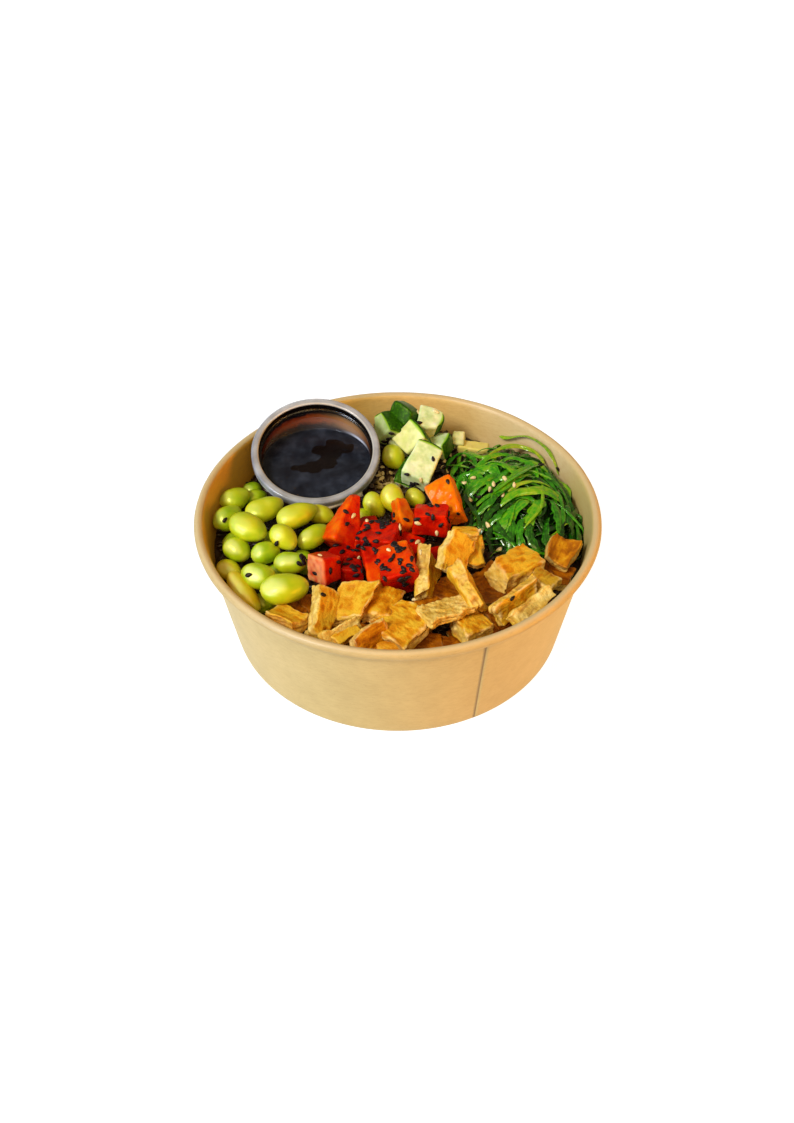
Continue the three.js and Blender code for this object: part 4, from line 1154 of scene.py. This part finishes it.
# The seaweed salad.
wakame = {
    "at": (56, 19), "long": 50, "short": 33, "heading": -72, "floor": 41, "edge": 47, "peak": 59,
    "swirl": (62, 8), "ribbons": 170, "lengths": (16, 44), "widths": (1.1, 3.4), "thick": 0.4,
    "stations": 26, "corners": 8,            # of a loose ribbon, and then of a leaf
    "leafStations": 40, "leafCorners": 26, "leafRibs": 5,
    "leaves": [
        # places along it with height above the heap, then its width and its tone, from dark to fresh green
        ([(41, 43, 1), (50, 52, 2), (58, 57, 4), (68, 52, 5), (73, 40, 3)], 1.6, 0.95),
        ([(42, 47, 1), (54, 54, 3), (64, 55, 4), (70, 49, 4), (73, 40, 2)], 1.8, 0.9),
        ([(33, 8, 1), (41, 12, 2), (50, 16, 2.5), (58, 27, 2.5), (65, 35, 2), (71, 44, 1)], 3.6, 0.68),
        ([(34, 3, 0.5), (43, 10, 1.5), (53, 18, 2), (62, 29, 1.5), (69, 37, 0.5)], 3.0, 0.5),
        ([(36, 14, 1), (45, 21, 2), (53, 30, 2), (60, 38, 1.5), (67, 46, 0.5)], 3.2, 0.55),
        ([(47, 6, 1.5), (55, 12, 2.5), (63, 14, 3), (71, 15, 2.5), (79, 13, 1)], 4.0, 0.8),
        ([(50, 14, 1), (58, 19, 2), (66, 21, 2.5), (75, 20, 1.5)], 2.6, 0.9),
        ([(61, 9, 2.5), (53, 1, 2.2), (45, -9, 1)], 6.5, 0.62),
        ([(68, 10, 2.5), (63, 1, 2.2), (57, -9, 1)], 6.0, 0.7),
        ([(72, 12, 2), (74, 1, 1.8), (74, -9, 1)], 4.6, 0.45),
        ([(62, -2, 1.2), (60, -12, 1.2), (64, -20, 0.5)], 4.0, 0.35),
        ([(69, 0, 1), (67, -11, 1), (69, -19, 0.5)], 4.0, 0.3),
        ([(79, 13, 1), (80, 0, 1), (81, -9, 0.5)], 3.4, 0.3),
        ([(23, 45, 1), (27, 53, 2), (33, 53, 3), (37, 45, 2.5), (38, 37, 1)], 2.8, 0.5),
        ([(25, 34, 1), (29, 42, 2.5), (35, 42, 2.5), (40, 33, 1)], 3.0, 0.6),
        ([(28, 22, 0.5), (31, 31, 2), (37, 31, 2), (40, 24, 1), (38, 16, 0)], 2.6, 0.5),
        ([(38, 12, 1), (35, 3, 1), (34, -5, 0.5)], 2.6, 0.15),
        ([(44, -2, 1), (42, -10, 1), (44, -19, 0.5)], 2.8, 0.15),
        ([(49, 8, 1), (42, 2, 1.2), (37, -7, 0.5)], 3.0, 0.25),
        ([(69, 25, 1.5), (68, 14, 3.2), (66, 2, 3.4), (61, -5, 3), (56, -10, 2)], 1.4, 0.8),
        ([(39, 10, 2), (48, 16, 3.2), (56, 23, 3.6), (65, 33, 3), (71, 42, 2)], 3.0, 0.64),
        ([(23, 50, 2), (31, 40, 3), (37, 33, 3), (44, 30, 2)], 2.6, 0.6),
        ([(40, 34, 2), (48, 35, 3.2), (53, 31, 3.2), (61, 34, 2.4)], 2.8, 0.62),
        ([(28, 57, 1.5), (35, 53, 2.5), (41, 43, 3), (49, 43, 2.5)], 2.6, 0.66),
        ([(34, 2, 1), (39, 5, 2), (44, 8, 3), (47, 14, 2)], 2.8, 0.5),
        ([(32, 24, 1), (33, 13, 2), (37, 2, 2), (38, -8, 1)], 2.4, 0.3),
        ([(30, 14, 1), (39, 20, 3), (44, 24, 3), (50, 27, 2)], 2.8, 0.58),
        ([(52, 10, 2), (63, 12, 3.4), (70, 12, 3.4), (77, 11, 2.4)], 3.0, 0.74),
        ([(40, -4, 1), (46, -1, 2.4), (50, 4, 2)], 3.4, 0.4),
        ([(70, 38, 1), (74, 28, 2), (79, 19, 1.5), (82, 5, 0.5)], 2.6, 0.35),
        ([(63, 44, 1.5), (71, 38, 2), (75, 27, 1)], 2.6, 0.7),
        ([(77, 33, 0.5), (80, 18, 0.8), (82, 5, 0.5)], 2.8, 0.2),
        ([(50, 2, 1.6), (52, -8, 1.6), (50, -18, 0.5)], 3.4, 0.4),
        ([(57, -2, 2), (55, -11, 1.8), (57, -20, 0.5)], 3.6, 0.5),
        ([(46, 0, 1.3), (48, -9, 1.4), (55, -17, 0.8)], 2.8, 0.35),
        ([(48, 38, 1.5), (57, 42, 2.2), (65, 35, 2), (67, 23, 1.5)], 3.0, 0.65),
        ([(30, 28, 1), (38, 36, 2), (48, 44, 2.5), (58, 46, 2)], 2.2, 0.6),
        ([(45, 26, 2), (50, 22, 2.2), (58, 24, 2.4), (66, 30, 1.5)], 2.2, 0.7),
        ([(75, 22, 1), (77, 8, 1.5), (76, -6, 1)], 2.2, 0.5),
        ([(40, 38, 1.5), (47, 37, 3), (53, 32, 3.2), (59, 23, 2)], 4.4, 0.64),
        ([(33, 24, 1), (39, 31, 2.6), (45, 31, 2.8), (49, 24, 2)], 4.6, 0.6),
        ([(31, 15, 1), (36, 22, 2.4), (41, 23, 2.6), (45, 17, 2)], 3.8, 0.56),
    ],
    # a loose strand left on the wall, with true heights
    "onWall": ([(51.8, 68.3, 52.3), (56.1, 65.1, 54), (65.1, 57.6, 60), (73.3, 46.9, 61), (76.8, 39.9, 58),
                (78.6, 34.6, 53)], 3.2, 0.85),
    "tones": ((0.0, "#071d02"), (0.3, "#144c05"), (0.58, "#379008"), (0.8, "#76a40c"), (1.0, "#a4ac26")),
}


# Height of the heap's dome at (x, y): edge + (peak - edge) x (1 - out^2.2), out being 1 on the oval's edge.
def heapAt(x, y):
    heading = np.radians(wakame["heading"])
    dx, dy = x - wakame["at"][0], y - wakame["at"][1]
    along = (dx * np.cos(heading) + dy * np.sin(heading)) / wakame["long"]
    across = (-dx * np.sin(heading) + dy * np.cos(heading)) / wakame["short"]
    out = np.hypot(along, across)
    return wakame["edge"] + (wakame["peak"] - wakame["edge"]) * (1 - np.clip(out, 0, 1.2) ** 2.2)


# The way back: the x and y of a share of the way out to the oval's edge, at an angle round it.
def inHeap(part, angle):
    heading = np.radians(wakame["heading"])
    along, across = wakame["long"] * part * np.cos(angle), wakame["short"] * part * np.sin(angle)
    x = wakame["at"][0] + along * np.cos(heading) - across * np.sin(heading)
    y = wakame["at"][1] + along * np.sin(heading) + across * np.cos(heading)
    return x, y


# Glossy veined weed, from nearly black to yellow green, by its own tone and by painted shade deep in the
# heap.
def seaweed():
    material, tree, shader = newMaterial("wakame")
    vein = clouds(tree, 1.8, 3, 0.55)
    share = plus(tree, field(tree, "toneAndShade"), 0.7, sums(tree, "SUBTRACT", vein, 0.5), True)
    colour = ramp(tree, share, *wakame["tones"])
    setAll(tree, shader, colour=colour, rough=0.26, under=0.2, underScale=1.0 * mm,
           underRadius=(0.7, 1.0, 0.1), gloss=0.4, glossTone="#f4ffa0", coat=0.75, coatRough=0.1,
           normal=bumpy(tree, vein, 0.3, 0.8))
    return material


# Waves along s, with their own number and start for each ribbon.
def waves(rng, count, s, fewest, most):
    return np.sin(rng.uniform(fewest, most, (count, 1)) * s + rng.uniform(0, 6, (count, 1)))


# How each ribbon is rolled about its line: up to start at s = 0, and on by up to twist at s = 1.
def rolls(rng, count, s, start, twist):
    return rng.uniform(-start, start, (count, 1)) + rng.uniform(-twist, twist, (count, 1)) * s


# Ribbons from their middle lines, copies x stations x 3: an oval section twisted by roll, folded across its
# width, with ribs and ruffled edges, that narrows to both ends.
def ribbonsAlong(path, width, roll, rng, corners, ribs):
    count, stations = path.shape[:2]
    s = np.linspace(0, 1, stations)
    forward = np.gradient(path, axis=1)
    forward /= np.linalg.norm(forward, axis=-1, keepdims=True)
    side = np.cross(forward, [0, 0, 1.0])
    side /= np.linalg.norm(side, axis=-1, keepdims=True)
    up = np.cross(side, forward)
    roll = roll[..., None]
    across = side * np.cos(roll) + up * np.sin(roll)
    above = -side * np.sin(roll) + up * np.cos(roll)
    taper = (1 - np.abs(2 * s - 1) ** 3.5) ** 0.6 + 0.03
    ruffle = 1 + 0.16 * waves(rng, count, s, 12, 30)
    half = (width[:, None] / 2 * taper * ruffle)[..., None, None]
    angle = fullTurn(corners)
    u = np.cos(angle)[:, None]
    wave = rng.uniform(0, 6, (count, 1, 1, 1)) + 9 * s[:, None, None]
    fold = 0.22 * half * u ** 2 + 0.16 * half * np.sin(wave) * u ** 3 + 0.05 * half * np.cos(ribs * np.pi * u)
    thick = wakame["thick"] / 2 * (0.5 + 0.5 * taper)[:, None, None] * np.sin(angle)[:, None]
    return path[:, :, None] + across[:, :, None] * half * u + above[:, :, None] * (thick - fold)


# Loose ribbons follow the heap's swirl, clockwise seen from above, and wander a little off it.
def wanderingPaths(rng, count, s):
    part = rng.uniform(0, 1, count) ** 0.5 * 0.95
    x, y = inHeap(part, rng.uniform(0, 2 * np.pi, count))
    step = rng.uniform(*wakame["lengths"], count) / len(s)
    off = rng.normal(0.25, 0.62, count)
    drift = 0.5 * waves(rng, count, s, 2, 6)
    xs, ys = [x], [y]
    for k in range(len(s) - 1):
        toSwirl = np.arctan2(ys[-1] - wakame["swirl"][1], xs[-1] - wakame["swirl"][0])
        lie = toSwirl - np.pi / 2 + off + drift[:, k]
        xs.append(xs[-1] + np.cos(lie) * step)
        ys.append(ys[-1] + np.sin(lie) * step)
    x, y = np.stack(xs, 1), np.stack(ys, 1)
    wave = rng.uniform(0.2, 1.2, (count, 1)) * waves(rng, count, s, 4, 9)
    lift = rng.uniform(-2.2, 1.6, (count, 1))
    sink = 2.6 * np.abs(2 * s - 1) ** 3       # their ends dip into the heap
    return np.stack([x, y, heapAt(x, y) + lift + wave - sink], -1), lift


def makeWakame():
    material = seaweed()
    rng = np.random.default_rng(11)
    count = wakame["ribbons"]
    s = np.linspace(0, 1, wakame["stations"])
    path, lift = wanderingPaths(rng, count, s)
    narrow, wide = wakame["widths"]
    width = rng.uniform(0, 1, count) ** 1.4 * (wide - narrow) + narrow
    roll = rolls(rng, count, s, 0.8, 1.5)
    points = ribbonsAlong(path, width, roll, rng, wakame["corners"], 1)
    # higher ribbons are fresher green and lower ones darker, as painted shade
    toneAndShade = np.clip(0.32 + 0.12 * lift + rng.normal(0, 0.15, (count, 1)), 0, 0.84)[..., None]
    addPiece("wakame_strands", keptClear(points), material, ["wakame_heap"], {"toneAndShade": toneAndShade}, True)

    # the leaves lie on the heap, with their ends bent down into it
    stations, corners, ribs = wakame["leafStations"], wakame["leafCorners"], wakame["leafRibs"]
    s = np.linspace(-1, 1, stations)
    places, width, toneAndShade = zip(*wakame["leaves"], wakame["onWall"])
    path = np.array([smoothly(line, stations) for line in places])
    leaves = path[:-1]
    leaves[..., 2] += heapAt(leaves[..., 0], leaves[..., 1]) - 2.5 * np.abs(s) ** 6
    roll = rolls(rng, len(path), s, 0.5, 0.7)
    points = ribbonsAlong(path, np.array(width), roll, rng, corners, ribs)
    veins = 0.09 * np.cos(ribs * np.pi * np.cos(fullTurn(corners)))
    toneAndShade = np.array(toneAndShade)[:, None, None] + 0.12 * noise(points, 6, 5) + veins
    addPiece("wakame_leaves", keptClear(points), material, ["wakame_heap"], {"toneAndShade": toneAndShade}, True)

    # the inside of the heap, an oval mound under the ribbons, nearly black as painted shade
    x, y = inHeap(np.append(np.linspace(0, 0.93, 28), [0.9, 0.0])[:, None], fullTurn(72))
    points = np.stack([x, y, heapAt(x, y) - 2.6], -1)
    points[-2:, :, 2] = wakame["floor"]
    points[:-2, :, 2] += 1.2 * noise(points[:-2], 3.5, 8)
    addPiece("wakame_core", keptClear(points), material, ["wakame_heap"], {"toneAndShade": 0.02}, True)


# The rice under everything, dark brown between the toppings, from sauce and painted shade, and paler where it
# shows by the cup.
rice = {
    "edge": 47, "crown": 4.5, "backLift": 9, "backAt": (4, 68), "backSpread": 15, "core": 3.0,
    "paleAt": (-4, 34), "paleSpread": (5.5, 6.5), "rings": 90, "columns": 300,
    "grains": 2600, "grainSize": (6.2, 2.3, 1.955), "sunk": 2.2, "grainRings": 8, "grainCorners": 6,
    "tones": ((0.1, "#180b05"), (0.3, "#3a220c"), (0.6, "#a08a48"), (1.0, "#e2cf9a")),
}


# A low crown, a hump e^-back^2 at the back under the cucumber, and lumps.
def riceHeight(x, y):
    out = np.hypot(x, y) / innerWall(rice["edge"])
    back = np.hypot(x - rice["backAt"][0], y - rice["backAt"][1]) / rice["backSpread"]
    lumps = 0.7 * np.sin(0.21 * x + 1) * np.cos(0.19 * y) + 0.5 * np.sin(0.11 * (x - y))
    return (rice["edge"] + rice["crown"] * np.cos(out.clip(0, 1) * np.pi / 2)
            + rice["backLift"] * np.exp(-back ** 2) + lumps)


# 1 in the middle of the pale place, and e^-1 as far out as its spread.
def ricePaleness(points):
    away = (points[..., :2] - np.array(rice["paleAt"])) / np.array(rice["paleSpread"])
    return np.exp(-(away ** 2).sum(-1))


# Brown in patches, from sauce and painted shade, up to cream where the field is high.
def cookedRice():
    material, tree, shader = newMaterial("rice")
    riceMottle = clouds(tree, 9, 3, 0.6)
    share = plus(tree, field(tree, "pale"), 0.35, riceMottle, True)
    colour = ramp(tree, share, *rice["tones"])
    grain = clouds(tree, 1.2, 2, 0.5)
    setAll(tree, shader, colour=colour, rough=0.4, coat=0.1, coatRough=0.3,
           normal=bumpy(tree, grain, 0.06, 0.4))
    return material


# The core is riceHeight turned round the bowl, roughened, down to the bowl's floor. Grains are strewn on it.
def makeRice():
    material = cookedRice()
    angle = fullTurn(rice["columns"])
    reach = innerWall(rice["edge"]) - 0.4
    top = polar(np.linspace(0, reach, rice["rings"])[:, None], angle, 0)
    top[..., 2] = riceHeight(top[..., 0], top[..., 1]) - rice["core"]
    top[..., 2] += 0.7 * noise(top, 2.6, 5) + 0.35 * noise(top, 1.3, 6)
    floor = bowl["floorHeight"] + 0.3
    points = np.concatenate([top, turned([(innerWall(floor) - 1.6, floor), (0, floor)], angle)])
    addPiece("rice_core", points, material, ["rice_bed"], {"pale": 0.25 * ricePaleness(points)}, True)

    rng = np.random.default_rng(5)
    count = rice["grains"]
    part = np.sqrt(rng.uniform(0, 1, count)) * (reach - 3)
    places = polar(part, rng.uniform(0, 2 * np.pi, count), 0.0)
    places[:, 2] = riceHeight(places[:, 0], places[:, 1]) - rice["sunk"]
    shape = ovalRings(rice["grainSize"], rice["grainRings"], rice["grainCorners"], 2.6, 0.5)
    turns = [rng.uniform(0, 360, count), rng.normal(0, 18, count), rng.uniform(0, 360, count)]
    turns = np.stack([turning(*row) for row in np.stack(turns, -1)])
    grains = np.einsum("rci,nji->nrcj", shape, turns) * rng.uniform(0.85, 1.1, (count, 1, 1, 1))
    grains = grains + places[:, None, None]
    pale = ricePaleness(grains) * rng.uniform(0.1, 1.5, (count, 1, 1))
    addPiece("rice_grains", grains, material, ["rice_bed"], {"pale": pale}, True)


# Sesame seeds, strewn from the camera's side. Places are pixels of the camera's 794 x 1123 frame.
sesame = {
    "size": (3.3, 1.85, 1.1), "rings": 8, "corners": 8,
    "lift": 0.4,             # the middle of a seed is this far off what it lies on
    "tones": {"black": ("#08080a", "#232027"), "white": ("#d3b36a", "#f3e4b2")},
    "black": [
        (225, 520), (220, 530), (277, 543), (249, 575), (330, 571), (315, 573), (323, 595), (346, 512),
        (347, 524), (336, 546), (320, 549), (392, 433), (388, 441), (419, 423), (433, 459), (407, 474),
        (392, 475), (448, 482), (448, 514), (458, 513), (452, 527), (472, 468), (430, 506), (437, 506),
        (557, 469), (541, 465), (492, 492), (479, 497), (417, 519), (428, 515), (433, 517), (406, 520),
        (400, 533), (377, 552), (384, 569), (385, 579), (391, 560), (412, 541), (338, 562), (365, 544),
        (304, 558), (512, 598), (384, 441), (389, 438),
    ],
    "white": [
        (353, 516), (367, 521), (320, 556), (359, 557), (450, 455), (441, 467), (473, 478), (505, 479),
        (514, 485), (503, 495), (488, 525), (479, 531), (499, 550), (418, 413), (436, 412), (421, 480),
        (437, 533), (444, 462), (415, 600), (470, 500), (371, 468),
    ],
    # middle of each cluster, its spread across and up, and how many seeds
    "blackClusters": [
        ((383, 523), (8, 4.5), 20), ((396, 547), (8, 4), 8), ((397, 566), (13, 8), 13),
        ((403, 581), (5, 4), 6), ((355, 566), (6, 5), 11), ((353, 549), (7, 4), 6), ((413, 486), (4, 4), 7),
        ((302, 562), (3, 5), 6), ((371, 543), (8, 6), 6), ((450, 520), (6, 8), 3), ((360, 530), (7, 6), 5),
    ],
    "whiteClusters": [((480, 490), (30, 20), 6), ((400, 530), (30, 25), 5), ((382, 474), (5, 4), 6)],
}


# A fine grain between a dark and a light tone.
def seedCoat(name, dark, light):
    material, tree, shader = newMaterial(name)
    grain = clouds(tree, 0.8, 3, 0.6)
    setAll(tree, shader, colour=ramp(tree, grain, (0.35, dark), (0.7, light)), rough=0.42,
           gloss=0.3, glossTone="#ffd9b0", normal=bumpy(tree, grain, 0.06, 0.5))
    return material


# From the camera through a pixel of its frame: where the line starts and the way it runs.
def throughFrame(px, py):
    down = np.radians(view["elevation"])
    across, high = view["frame"]
    focal = view["lens"] / view["sensor"] * high      # in pixels
    right = (px - across / 2 + view["shift"][0] * high) / focal
    up = -(py - high / 2 - view["shift"][1] * high) / focal
    way = Vector((right, np.cos(down) + up * np.sin(down), -np.sin(down) + up * np.cos(down)))
    return Vector(cameraPlace()), way.normalized()


# Each seed lies on whatever the line through its place meets first, along its surface. A seed is a flat
# drop, of oval rings that are wider towards one end.
def makeSesame():
    verts, faces, base = [], [], 0
    for corners, quads in surfaces:
        verts.append(corners)
        faces += [[v + base for v in face] for face in quads]
        base += len(corners)
    tree = BVHTree.FromPolygons(np.concatenate(verts).tolist(), faces)
    shape = ovalRings(sesame["size"], sesame["rings"], sesame["corners"], 2.2, 0.6, 0.3)
    rng = np.random.default_rng(3)
    for kind, tones in sesame["tones"].items():
        places = list(sesame[kind])
        for middle, spread, count in sesame[kind + "Clusters"]:
            places += (rng.normal(0, 0.7, (count, 2)) * spread + middle).tolist()
        seeds = []
        for px, py in places:
            hit, normal, _, _ = tree.ray_cast(*throughFrame(px, py))
            if hit is None:
                continue
            side = normal.orthogonal().normalized()
            lie = rng.uniform(0, 2 * np.pi)
            forward = side * np.cos(lie) + normal.cross(side) * np.sin(lie)
            axes = np.array([forward, normal.cross(forward), normal])
            seeds.append(shape @ axes * rng.uniform(0.85, 1.1) + np.array(hit + normal * sesame["lift"]))
        name = f"{kind}_sesame"
        addPiece(f"{name}_seeds", np.array(seeds), seedCoat(name, *tones))


makeStage()
print("stage ready")
makeBowl()
print("bowl ready")
makeCup()
makeSauce()
print("cup ready")
makeBeans()
makeCuts("cucumber_chunk", cucumber, "cucumber", cucumberFlesh(), cucumberChunk)
makeCuts("red_flesh", redCubes, "red_cube", redFlesh(), redCube)
makeCuts("fried_tofu", tofu, "tofu", friedTofu(), tofuSlab)
print("toppings ready")
makeWakame()
makeRice()
print("wakame and rice ready")
makeSesame()
print("seeds ready")
